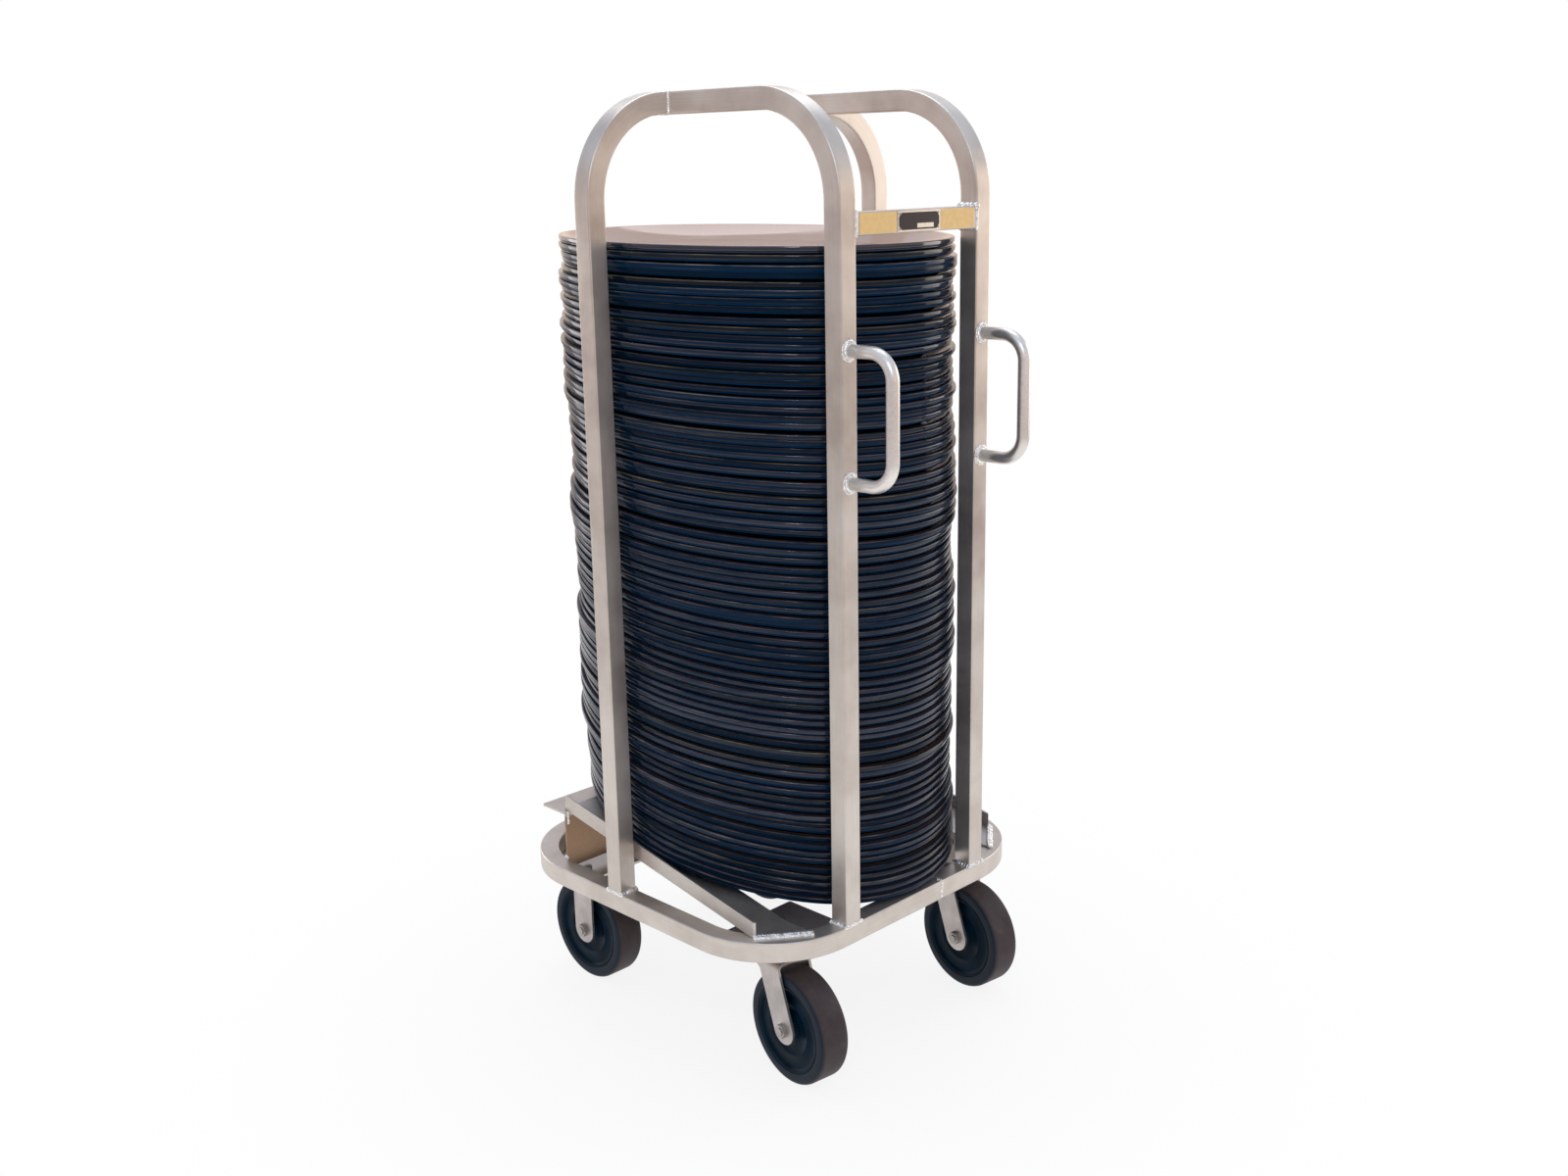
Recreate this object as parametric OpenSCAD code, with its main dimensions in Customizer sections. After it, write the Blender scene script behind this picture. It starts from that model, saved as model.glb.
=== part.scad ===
// Oval tray cart: a bent square tube ring on four casters, two hoops with
// rear posts, two sloping rails and a nested stack of oval trays.
// X runs from the open loading end to the handle end, Y across, Z up.
// The origin is on the floor below the middle of the base ring.

/* [Tubes] */
// Outside size of the square tube
tube_size = 31.75; // [25:0.05:38]
// Wall of the square tube
tube_wall = 3.2; // [1.5:0.1:5]
// Bend radius of the square tube on its centre line
bend_radius = 139.7; // [125:0.1:150]

/* [Base ring] */
// Length of the base ring over its outer faces
ring_length = 652; // [580:1:800]
// Side room between the trays and the rear posts
tray_side_room = 13.25; // [6:0.25:30]
// Radius of the vent holes under the posts
vent_radius = 6; // [3:0.5:9]
// Radius of the drain holes in the underside of the ring
drain_radius = 3; // [2:0.5:5]

/* [Hoops and posts] */
// Distance from the ring's middle back to the rear posts' centre line
post_setback = 29.6; // [0:0.1:80]
// Straight end of a rear post's bend before it meets the hoop bar
post_stub = 2.75; // [1:0.25:20]
// Free height from the top tray's rim to the hoop bars
head_room = 178.5; // [150:0.5:300]

/* [Crossbar and plate] */
// Drop from the end of the hoop bend to the crossbar's top
crossbar_drop = 15; // [5:1:60]
// Length of the blank plate on the crossbar
plate_length = 92; // [60:1:110]
// Thickness of the blank plate
plate_thick = 0.8; // [0.5:0.1:2]
// Margin between the crossbar's edges and the blank plate
plate_margin = 1.6; // [0.5:0.1:4]
// Border of the blank plate around its dark face
plate_border = 2.4; // [1.5:0.1:4]
// Cut corners of the dark face
plate_corner = 6; // [3:0.5:9]
// Thickness of the dark face
face_thick = 0.3; // [0.2:0.1:0.8]
// Gap between the blank plate, the labels beside it and the posts
label_gap = 5; // [1:0.5:10]
// Radius of a rivet head
rivet_radius = 1.7; // [1:0.1:2.2]

/* [Handles] */
// Diameter of the handle rod
handle_rod = 19.05; // [12:0.05:26]
// Height between the handle's two legs, centre to centre
handle_span = 186; // [140:1:240]
// Reach from the post's face to the centre of the grip
handle_reach = 79; // [60:1:110]
// Bend radius of the handle rod on its centre line
handle_bend = 27; // [20:1:40]
// Drop from the crossbar's underside to the handle's upper leg
handle_drop = 154; // [80:1:200]

/* [Rails and cross angle] */
// Height of a rail's upright lip
lip_height = 25.4; // [18:0.2:32]
// Width of a rail's flange
flange_width = 70; // [60:1:76]
// Thickness of a rail
rail_thick = 3.2; // [2:0.1:5]
// Room between a rail's lip and the ring's inner face
rail_side_room = 7; // [3:0.5:8]
// Length of rail that lies on the cross angle
rail_overlap = 8; // [4:1:20]
// Distance from the rear end of the trays to the cross angle's front face
cross_inset = 153.5; // [110:0.5:200]
// Height of the cross angle's top above the ring
cross_rise = 82; // [60:1:110]
// Height of the cross angle's upright leg
cross_leg = 100; // [90:1:112]
// Width of the cross angle's top flange
cross_flange = 58; // [40:1:70]
// Thickness of the cross angle
cross_thick = 4.5; // [3:0.5:6]

/* [Corner plates] */
// Thickness of a corner plate
corner_thick = 4.8; // [3:0.1:8]
// Distance from the ring's end face to a caster's centre
caster_inset_x = 104.7; // [100:0.1:115]
// Distance from the ring's side face to a caster's centre
caster_inset_y = 114; // [110:0.5:120]
// Reach of a corner plate past the caster's centre, along the cart
corner_reach_x = 71; // [50:1:80]
// Reach of a corner plate past the caster's centre, across the cart
corner_reach_y = 100; // [60:1:120]

/* [Casters] */
// Length of a caster's mounting plate, across the cart
pad_length = 100; // [96:1:112]
// Width of a caster's mounting plate, along the cart
pad_width = 85; // [80:1:95]
// Thickness of a caster's mounting plate
pad_thick = 6; // [4:0.5:8]
// Bolt spacing across the cart
bolt_pitch_y = 80; // [78:0.5:82]
// Bolt spacing along the cart
bolt_pitch_x = 60; // [56:0.5:62]
// Diameter of a mounting bolt
bolt_d = 8; // [6:0.5:9]
// Radial clearance of bolts in their holes
bolt_play = 0.25; // [0.1:0.05:0.5]
// Height of the fixed race below the mounting plate
upper_race = 7; // [6.5:0.5:12]
// Radius of the fixed race
race_radius = 34; // [28:0.5:36]
// Height of the turning race on the fork
lower_race = 6.7; // [4:0.1:10]
// Diameter of the king pin
king_d = 16; // [12:0.5:20]
// Height of the king pin's head
king_head = 7.7; // [5:0.1:10]
// Running clearance of pins and bores, on the radius
run_fit = 0.05; // [0.02:0.01:0.1]
// Gap between faces that turn past each other
face_gap = 0.3; // [0.2:0.05:0.5]
// Trail of a swivel caster
trail = 51; // [40:1:58]
// Turn of the swivel casters as they stand
caster_yaw = -7; // [-20:1:20]

/* [Forks] */
// Thickness of a fork's sheet
fork_thick = 4.2; // [3:0.1:5]
// Outer bend radius of a fork's shoulders
fork_bend = 10; // [6:0.5:14]
// Half width of a fork leg at the axle
leg_half = 23; // [18:0.5:27]
// Half length of a swivel fork's crown
crown_half = 37; // [36:0.5:44]
// Half width of a rigid fork's leg at its top
rigid_half = 24; // [22:0.5:30]

/* [Wheels] */
// Diameter of a wheel
wheel_d = 177.8; // [150:0.2:190]
// Width of a wheel
wheel_w = 50.8; // [40:0.2:60]
// Radius of the wheel's core under the tyre
core_radius = 71; // [60:0.5:74]
// Radius of the tyre's shoulders
shoulder = 7; // [3:0.5:10]
// Depth of the recess in a core's face
core_recess = 5; // [2:0.5:8]
// Radius of the hub
hub_radius = 20; // [16:0.5:24]
// Width of the hub past the wheel's faces, on each side
hub_proud = 0.6; // [0.4:0.1:2]
// Height from the wheel's top to the king pin's head
wheel_room = 1.7; // [0.5:0.1:12]
// Diameter of the axle bolt
axle_d = 12.7; // [10:0.1:14]
// Wall of the axle bush
bush_wall = 2.5; // [1.5:0.1:3.5]
// Thickness of a thrust washer
washer_thick = 1.2; // [0.8:0.1:2]
// Radius of a thrust washer
washer_radius = 14; // [12:0.5:16]

/* [Trays] */
// Length of a tray
tray_length = 674; // [620:1:720]
// Width of a tray
tray_width = 554; // [500:1:600]
// How much flatter the sides of the oval are than its ends
oval_flat = 37; // [30:1:45]
// Height of a tray
tray_height = 27; // [24:0.5:30]
// Thickness of a tray's rim
rim_thick = 5; // [4:0.2:6]
// Width of the rim outside the wall
rim_width = 10; // [7:0.5:12]
// Inward run of the sloping wall
wall_run = 27; // [22:0.5:30]
// Thickness of the wall, measured level
wall_thick = 4.2; // [3.5:0.1:5]
// Thickness of a tray's floor
floor_thick = 3; // [2:0.1:4]
// How far the stacking shoulder stands back from the rim's edge
shoulder_in = 4; // [3:0.5:6]
// Number of trays in the stack, with the top one
tray_count = 80; // [72:1:84]
// Height that each tray adds to the stack
nest_pitch = 11.79; // [11.5:0.01:13]
// Slope of the top tray
top_tilt = 1; // [0:0.1:3]
// How far trays lie out of line along the cart
shift_x = 1.5; // [0:0.1:2]
// How far trays lie out of line across the cart
shift_y = 2.5; // [0:0.1:3]
// How far trays are turned out of line, in degrees
shift_yaw = 0.3; // [0:0.05:0.4]
// Clearance between the stack and the front posts
stack_clear = 3; // [2.5:0.1:8]
// Clearance between the lowest tray and the ring's inner edge
edge_clear = 1; // [0.5:0.1:4]
// Gap at which pieces rest on each other
seat_gap = 0.3; // [0.2:0.05:0.5]

/* [Hidden] */
$fn = 96;

aluminium = [0.80, 0.78, 0.76];
zinc = [0.70, 0.69, 0.68];
rubber = [0.10, 0.09, 0.10];
black = [0.05, 0.06, 0.09];

// Heights, from the floor up
wheel_r = wheel_d / 2;
head_z = wheel_d + wheel_room;
crown_z = head_z + king_head + face_gap;
crown_top = crown_z + fork_thick;
race_top = crown_top + lower_race;
pad_z = race_top + face_gap + upper_race;
pad_top = pad_z + pad_thick;
ring_z = pad_top + corner_thick;
ring_top = ring_z + tube_size;

// Plan of the ring
ring_width = tray_width + 2 * tray_side_room + 2 * tube_size;
half_l = ring_length / 2;
half_w = ring_width / 2;
bend_out = bend_radius + tube_size / 2;
arc_x = half_l - bend_out;
arc_y = half_w - bend_out;
inner_w = half_w - tube_size;
caster_x = half_l - caster_inset_x;
caster_y = half_w - caster_inset_y;

// Rails and cross angle
lip_y = inner_w - rail_side_room;
flange_y = lip_y - flange_width;
line_r = bend_radius;
rail_x = arc_x + sqrt(line_r * line_r - pow(max(0, flange_y - arc_y), 2));
lip_x = arc_x + sqrt(line_r * line_r - pow(max(0, lip_y - arc_y), 2));
cross_top = ring_top + cross_rise;

// Hoops, posts and crossbar in plan
post_x = -post_setback;
post_y = half_w - tube_size / 2;
bar_side = half_w - bend_out - post_stub;
hoop_y = bar_side - tube_size / 2;
hoop_x = half_l - tube_size / 2;
hoop_in = hoop_y - tube_size / 2;
hoop_back = half_l - tube_size;

// Oval of a tray, drawn with four arcs
oval_a = tray_length / 2;
oval_b = tray_width / 2;
end_r = oval_b - oval_flat;
end_x = oval_a - end_r;
side_y = (end_x * end_x - oval_flat * oval_flat) / (2 * oval_flat);
side_r = oval_b + side_y;
end_ang = atan2(side_y, end_x);

// Where the trays meet the front posts, and the rails' slope up to the cross angle
touch_x = end_x + sqrt(end_r * end_r - hoop_in * hoop_in);
reach_x = sqrt(touch_x * touch_x + tray_height * tray_height);
post_touch = hoop_back - reach_x - stack_clear;
cross_x = post_touch - oval_a + cross_inset;
slope = atan2(cross_rise, lip_x - cross_x);
rail_len = (lip_x - cross_x + rail_overlap) / cos(slope);

// Place and slope of each tray in the stack
edge_w = (hoop_back - lip_x) * sin(slope) - rail_thick - seat_gap;
edge_u = oval_a - rim_width - wall_run + edge_w * wall_run / (tray_height - rim_thick) + edge_clear;
edge_x = hoop_back * pow(cos(slope), 2) + lip_x * pow(sin(slope), 2)
    + (rail_thick + seat_gap) * sin(slope) - edge_u * cos(slope);
stack_x = edge_w > 0 ? min(post_touch, edge_x) : post_touch;
stack_z = ring_top + (rail_thick + seat_gap + (lip_x - stack_x) * sin(slope)) / cos(slope);
tilt_step = (slope - top_tilt) / (tray_count - 1);
shoulder_height = nest_pitch * cos(slope) - rim_thick - seat_gap
    - (oval_a + shift_x) * sin(abs(tilt_step));
top_index = tray_count - 1;
group_size = ceil(top_index / 8);
function tray_tilt(i) = slope - i * tilt_step;
function ease(i) = min(1, i / 6);
function tray_dx(i) = ease(i) * shift_x * (0.6 * sin(i * 67) + 0.4 * sin(i * 23 + 40));
function tray_dy(i) = ease(i) * shift_y * (0.5 * sin(i * 53 + 20) + 0.5 * sin(i * 17));
function tray_yaw(i) = ease(i) * shift_yaw * sin(i * 71 + 10);

// Heights of the hoops, crossbar and handles
stack_top = stack_z + top_index * nest_pitch + tray_height;
hoop_top = stack_top + head_room + tube_size;
bend_z = hoop_top - bend_out;
bar_z = hoop_top - tube_size / 2;
crossbar_z = bend_z - crossbar_drop - tube_size / 2;
handle_z = crossbar_z - tube_size / 2 - handle_drop - handle_span / 2;

// Width of the forks
hub_half = wheel_w / 2 + hub_proud;
fork_in = hub_half + face_gap + washer_thick;
fork_half = fork_in + fork_thick;
bush_r = axle_d / 2 + run_fit + bush_wall;
axle_head = axle_d * 0.55;

// Solid square rod of one bend, standing at the origin and bending inward to -X
module bent_rod(size, rise, run, over = 0) {
    translate([-size / 2, -size / 2, rise]) mirror([0, 0, 1]) cube([size, size, rise + over]);
    translate([-bend_radius, 0, rise]) rotate([90, 0, 0]) rotate_extrude(angle = 90)
        translate([bend_radius, 0]) square(size, center = true);
    translate([-bend_radius, -size / 2, rise + bend_radius - size / 2]) mirror([1, 0, 0])
        cube([run + over, size, size]);
}

// Square tube of one bend
module bent_tube(rise, run) {
    difference() {
        bent_rod(tube_size, rise, run);
        bent_rod(tube_size - 2 * tube_wall, rise, run, 1);
    }
}

// Solid square rod bent to the closed ring
module ring_rod(size) {
    for (q = [0:3]) {
        sx = (q == 0 || q == 3) ? 1 : -1;
        sy = (q < 2) ? 1 : -1;
        along = q % 2 == 0 ? arc_y : arc_x;
        translate([sx * arc_x, sy * arc_y, 0]) rotate([0, 0, 90 * q]) {
            rotate_extrude(angle = 90) translate([bend_radius, 0]) square(size, center = true);
            translate([bend_radius - size / 2, 0, -size / 2]) mirror([0, 1, 0])
                cube([size, 2 * along, size]);
        }
    }
}

module base_ring() {
    color(aluminium) difference() {
        translate([0, 0, ring_z + tube_size / 2]) ring_rod(tube_size);
        translate([0, 0, ring_z + tube_size / 2]) ring_rod(tube_size - 2 * tube_wall);
        for (sy = [-1, 1]) {
            translate([post_x, sy * post_y, ring_top - tube_wall - 1])
                cylinder(r = vent_radius, h = tube_wall + 2);
            translate([hoop_x, sy * hoop_y, ring_top - tube_wall - 1])
                cylinder(r = vent_radius, h = tube_wall + 2);
            translate([0, sy * post_y, ring_z - 1])
                cylinder(r = drain_radius, h = tube_wall + 2);
        }
    }
}

// Corner plate welded under the ring, for the front far corner
module corner_plate_shape() {
    edge_x = half_l - tube_size / 2;
    edge_y = half_w - tube_size / 2;
    low_x = caster_x - corner_reach_x;
    low_y = caster_y - corner_reach_y;
    linear_extrude(corner_thick) difference() {
        translate([low_x, low_y]) square([edge_x - low_x, edge_y - low_y]);
        difference() {
            translate([arc_x, arc_y]) square(bend_radius + 10);
            translate([arc_x, arc_y]) circle(r = bend_radius);
        }
    }
}

module corner_plate(sx, sy) {
    color(aluminium) difference() {
        mirror([sx < 0 ? 1 : 0, 0, 0]) mirror([0, sy < 0 ? 1 : 0, 0])
            translate([0, 0, pad_top]) corner_plate_shape();
        bolt_holes(sx, sy, pad_top - 1, corner_thick + 2);
    }
}

module bolt_holes(sx, sy, z, h) {
    for (bx = [-1, 1]) for (by = [-1, 1])
        translate([sx * caster_x + bx * bolt_pitch_x / 2, sy * caster_y + by * bolt_pitch_y / 2, z])
            cylinder(r = bolt_d / 2 + bolt_play, h = h);
}

// Hoop of one tube: front post, bend and top bar
module hoop(sy) {
    run = hoop_x - bend_radius - (post_x - tube_size / 2);
    color(aluminium) translate([hoop_x, sy * hoop_y, ring_top])
        bent_tube(bend_z - ring_top, run);
}

// Rear post, bending inward to the side of the hoop bar
module rear_post(sy) {
    color(aluminium) translate([post_x, sy * post_y, ring_top]) rotate([0, 0, sy > 0 ? 90 : -90])
        bent_tube(bend_z - ring_top, post_stub);
}

module crossbar() {
    color(aluminium) difference() {
        translate([hoop_back, -hoop_in, crossbar_z - tube_size / 2])
            cube([tube_size, 2 * hoop_in, tube_size]);
        translate([hoop_back + tube_wall, -hoop_in - 1, crossbar_z - tube_size / 2 + tube_wall])
            cube([tube_size - 2 * tube_wall, 2 * hoop_in + 2, tube_size - 2 * tube_wall]);
    }
}

// Blank plate on the crossbar, with a dark face and four rivets
plate_h = tube_size - 2 * plate_margin;
rivet_y = plate_length / 2 - plate_border - rivet_radius;
rivet_z = plate_h / 2 - plate_border - rivet_radius;

module blank_plate() {
    color([0.86, 0.83, 0.76]) difference() {
        translate([half_l, -plate_length / 2, crossbar_z - plate_h / 2])
            cube([plate_thick, plate_length, plate_h]);
        for (py = [-1, 1]) for (pz = [-1, 1])
            translate([half_l - 1, py * rivet_y, crossbar_z + pz * rivet_z]) rotate([0, 90, 0])
                cylinder(r = rivet_radius * 0.6, h = plate_thick + 2);
    }
}

module plate_face() {
    fy = plate_length / 2 - plate_border;
    fz = plate_h / 2 - plate_border;
    cut = max(plate_corner, 2 * rivet_radius + 1.2);
    color([0.12, 0.08, 0.09]) translate([half_l + plate_thick, 0, crossbar_z])
        rotate([90, 0, 90]) linear_extrude(face_thick)
            difference() {
                polygon([[-fy, -fz + cut], [-fy + cut, -fz], [fy - cut, -fz], [fy, -fz + cut],
                    [fy, fz - cut], [fy - cut, fz], [-fy + cut, fz], [-fy, fz - cut]]);
                translate([-0.05 * plate_length, -0.34 * plate_h])
                    square([0.4 * plate_length, 0.22 * plate_h]);
            }
}

// Bare label between the blank plate and a post
module side_label(sy) {
    low = plate_length / 2 + label_gap / 2;
    color([0.91, 0.78, 0.52]) mirror([0, sy < 0 ? 1 : 0, 0])
        translate([half_l, low, crossbar_z - plate_h / 2])
            cube([face_thick, hoop_in - 1.5 * label_gap - low, plate_h]);
}

module plate_rivets() {
    color(zinc) for (py = [-1, 1]) for (pz = [-1, 1])
        translate([half_l, py * rivet_y, crossbar_z + pz * rivet_z]) rotate([0, 90, 0]) {
            cylinder(r = rivet_radius * 0.6 - 0.05, h = plate_thick);
            translate([0, 0, plate_thick]) cylinder(r = rivet_radius, h = 0.5);
            translate([0, 0, plate_thick + 0.5])
                cylinder(r1 = rivet_radius, r2 = rivet_radius * 0.55, h = 0.5);
        }
}

// Handle bent from round rod and welded to the front post's face
module handle(sy) {
    leg = handle_reach - handle_bend;
    grip = handle_span - 2 * handle_bend;
    color(aluminium) translate([half_l, sy * hoop_y, handle_z]) {
        for (s = [-1, 1]) translate([0, 0, s * handle_span / 2]) rotate([0, 90, 0])
            cylinder(d = handle_rod, h = leg);
        translate([handle_reach, 0, -grip / 2]) cylinder(d = handle_rod, h = grip);
        translate([leg, 0, grip / 2]) rotate([90, 0, 0]) rotate_extrude(angle = 90)
            translate([handle_bend, 0]) circle(d = handle_rod);
        translate([leg, 0, -grip / 2]) rotate([90, 90, 0])
            rotate_extrude(angle = 90) translate([handle_bend, 0]) circle(d = handle_rod);
    }
}

// Side view of a rail that is h high: level on the ring, then sloping up to the cross angle
module rail_side(h) {
    back = lip_x - rail_len * cos(slope);
    rise = rail_len * sin(slope);
    polygon([[rail_x, 0], [rail_x, h], [lip_x + h * tan(slope / 2), h],
        [back + h * sin(slope), rise + h * cos(slope)], [back, rise], [lip_x, 0]]);
}

// Rail: upright lip outside, wide flange inside, front end cut along the ring's corner
module rail(sy) {
    dx = (rail_x - lip_x) * 0.2;
    dy = (lip_y - flange_y) * 0.2;
    color(aluminium) translate([0, 0, ring_top]) mirror([0, sy < 0 ? 1 : 0, 0]) difference() {
        union() {
            translate([0, lip_y, 0]) rotate([90, 0, 0])
                linear_extrude(flange_width) rail_side(rail_thick);
            translate([0, lip_y, 0]) rotate([90, 0, 0])
                linear_extrude(rail_thick) rail_side(lip_height);
        }
        translate([0, 0, -1]) linear_extrude(lip_height + 5)
            polygon([[rail_x + dx, flange_y - dy], [rail_x + flange_width, flange_y - dy],
                [rail_x + flange_width, lip_y + dy], [lip_x - dx, lip_y + dy]]);
    }
}

// Plan of the opening inside the ring
module ring_inside() {
    square([2 * arc_x, 2 * inner_w], center = true);
    square([2 * hoop_back, 2 * arc_y], center = true);
    for (sx = [-1, 1]) for (sy = [-1, 1])
        translate([sx * arc_x, sy * arc_y]) circle(r = bend_radius - tube_size / 2);
}

// Cross angle that lifts the rear ends of the rails
module cross_angle() {
    color(aluminium) {
        translate([0, 0, cross_top - cross_leg]) linear_extrude(cross_leg) intersection() {
            translate([cross_x - cross_thick, -inner_w]) square([cross_thick, 2 * inner_w]);
            ring_inside();
        }
        translate([cross_x - cross_flange, -inner_w, cross_top - cross_thick])
            cube([cross_flange, 2 * inner_w, cross_thick]);
    }
}

// Mounting plate of a swivel caster with its fixed race
module pad(sy) {
    color(zinc) difference() {
        union() {
            translate([caster_x - pad_width / 2, sy * caster_y - pad_length / 2, pad_z])
                cube([pad_width, pad_length, pad_thick]);
            translate([caster_x, sy * caster_y, pad_z - upper_race])
                cylinder(r1 = race_radius - 3, r2 = race_radius, h = upper_race);
        }
        translate([caster_x, sy * caster_y, pad_z - upper_race - 1])
            cylinder(d = king_d, h = upper_race + pad_thick + 2);
        bolt_holes(1, sy, pad_z - 1, pad_thick + 2);
    }
}

module king_pin(sy) {
    color(zinc) translate([caster_x, sy * caster_y, 0]) {
        translate([0, 0, head_z]) cylinder(r = king_d * 0.8, h = king_head);
        translate([0, 0, head_z + king_head])
            cylinder(d = king_d, h = pad_top - head_z - king_head - face_gap);
    }
}

// Turning race that lies on a swivel fork's crown
module race(sy) {
    color(zinc) translate([caster_x, sy * caster_y, crown_top]) difference() {
        cylinder(r1 = race_radius + 2, r2 = race_radius - 1, h = lower_race);
        translate([0, 0, -1]) cylinder(r = king_d / 2 + 3, h = lower_race + 2);
    }
}

// Sheet bent to a channel, open below, with rounded shoulders
module channel(top, low, half_x) {
    rotate([90, 0, 90]) translate([0, 0, -half_x]) linear_extrude(2 * half_x) difference() {
        channel_outline(fork_half, top, low, fork_bend);
        channel_outline(fork_in, top - fork_thick, low - 1, fork_bend - fork_thick);
    }
}

module channel_outline(half, top, low, r) {
    translate([-half, low]) square([2 * half, top - low - r]);
    translate([-half + r, top - r - 1]) square([2 * (half - r), r + 1]);
    for (s = [-1, 1]) translate([s * (half - r), top - r]) circle(r = r);
}

// Swivel fork in its own frame: king pin at the origin, axle at the trail
lean = atan2(trail * 0.75, crown_top - wheel_r);
function leg_x(s, z) = trail + s * leg_half * cos(lean)
    - (z - wheel_r - s * leg_half * sin(lean)) * tan(lean);
module swivel_side() {
    lz = leg_half * sin(lean);
    flare = crown_top - fork_bend;
    translate([trail, wheel_r]) circle(r = leg_half);
    polygon([[leg_x(-1, wheel_r - lz), wheel_r - lz], [leg_x(1, wheel_r + lz), wheel_r + lz],
        [leg_x(1, flare), flare], [crown_half + 3, crown_z], [crown_half + 3, crown_top],
        [-crown_half, crown_top], [-crown_half, crown_z], [leg_x(-1, flare) - fork_bend, flare],
        [leg_x(-1, flare - fork_bend), flare - fork_bend]]);
}

module swivel_fork() {
    difference() {
        intersection() {
            channel(crown_top, 0, 2 * crown_half + trail);
            rotate([90, 0, 0]) translate([0, 0, -fork_half - 5])
                linear_extrude(2 * fork_half + 10) swivel_side();
        }
        translate([0, 0, crown_z - 1]) cylinder(r = king_d / 2 + run_fit, h = fork_thick + 2);
        translate([trail, fork_half + 1, wheel_r]) rotate([90, 0, 0])
            cylinder(r = axle_d / 2 + run_fit, h = 2 * fork_half + 2);
    }
}

// Rigid fork in its own frame: legs straight down, with their crown let into the mounting plate
rigid_top = pad_z + pad_thick / 2;
module rigid_side() {
    translate([0, wheel_r]) circle(r = leg_half);
    polygon([[-leg_half, wheel_r], [leg_half, wheel_r],
        [rigid_half, pad_z - fork_bend], [rigid_half, rigid_top],
        [-rigid_half, rigid_top], [-rigid_half, pad_z - fork_bend]]);
}

module rigid_fork() {
    difference() {
        union() {
            intersection() {
                channel(rigid_top, 0, pad_width);
                rotate([90, 0, 0]) translate([0, 0, -fork_half - 5])
                    linear_extrude(2 * fork_half + 10) rigid_side();
            }
            translate([-pad_width / 2, -pad_length / 2, pad_z]) cube([pad_width, pad_length, pad_thick]);
        }
        translate([0, fork_half + 1, wheel_r]) rotate([90, 0, 0])
            cylinder(r = axle_d / 2 + run_fit, h = 2 * fork_half + 2);
        for (bx = [-1, 1]) for (by = [-1, 1])
            translate([bx * bolt_pitch_x / 2, by * bolt_pitch_y / 2, pad_z - 1])
                cylinder(r = bolt_d / 2 + bolt_play, h = pad_thick + 2);
    }
}

// Places a wheel's frame (axle along Y at x = trail for a swivel caster)
module at_caster(sx, sy) {
    translate([sx * caster_x, sy * caster_y, 0]) rotate([0, 0, sx > 0 ? caster_yaw : 0]) children();
}

module at_axle(sx, sy) {
    at_caster(sx, sy) translate([sx > 0 ? trail : 0, 0, wheel_r]) rotate([90, 0, 0]) children();
}

module fork(sx, sy) {
    color(zinc) at_caster(sx, sy) {
        if (sx > 0) swivel_fork();
        else rigid_fork();
    }
}

// Tyre with rounded shoulders, round its own axis
module tyre_shape() {
    w = wheel_w / 2;
    rotate_extrude() {
        translate([core_radius, -w]) square([wheel_r - shoulder - core_radius, wheel_w]);
        translate([core_radius, -w + shoulder]) square([wheel_r - core_radius, wheel_w - 2 * shoulder]);
        for (s = [-1, 1]) translate([wheel_r - shoulder, s * (w - shoulder)]) circle(r = shoulder);
    }
}

// Core with a recessed web and a hub
module core_shape() {
    w = wheel_w / 2;
    web = w - core_recess;
    rotate_extrude() polygon([
        [bush_r, -hub_half], [hub_radius, -hub_half], [hub_radius + 2, -web],
        [core_radius - 8, -web], [core_radius - 5, -w + 1], [core_radius, -w + 1],
        [core_radius, w - 1], [core_radius - 5, w - 1], [core_radius - 8, web],
        [hub_radius + 2, web], [hub_radius, hub_half], [bush_r, hub_half]]);
}

module tyre(sx, sy) {
    color(rubber) at_axle(sx, sy) tyre_shape();
}

module core(sx, sy) {
    color(black) at_axle(sx, sy) core_shape();
}

module bush(sx, sy) {
    color([0.55, 0.45, 0.30]) at_axle(sx, sy) difference() {
        cylinder(r = bush_r, h = 2 * hub_half, center = true);
        cylinder(r = axle_d / 2 + run_fit, h = 2 * hub_half + 2, center = true);
    }
}

// Axle bolt with its nut and two thrust washers
module axle(sx, sy) {
    color(zinc) at_axle(sx, sy) {
        translate([0, 0, -fork_half]) cylinder(d = axle_d, h = 2 * fork_half + axle_head + 2);
        translate([0, 0, fork_half]) difference() {
            cylinder(r = axle_d * 0.87, h = axle_head, $fn = 6);
            translate([0, 0, -1]) cylinder(r = axle_d / 2 + run_fit, h = axle_head + 2);
        }
        translate([0, 0, -fork_half - axle_head * 0.8])
            cylinder(r = axle_d * 0.87, h = axle_head * 0.8, $fn = 6);
        for (s = [-1, 1]) translate([0, 0, s * (fork_in - washer_thick / 2)]) difference() {
            cylinder(r = washer_radius, h = washer_thick, center = true);
            cylinder(r = axle_d / 2 + run_fit, h = washer_thick + 2, center = true);
        }
    }
}

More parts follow.
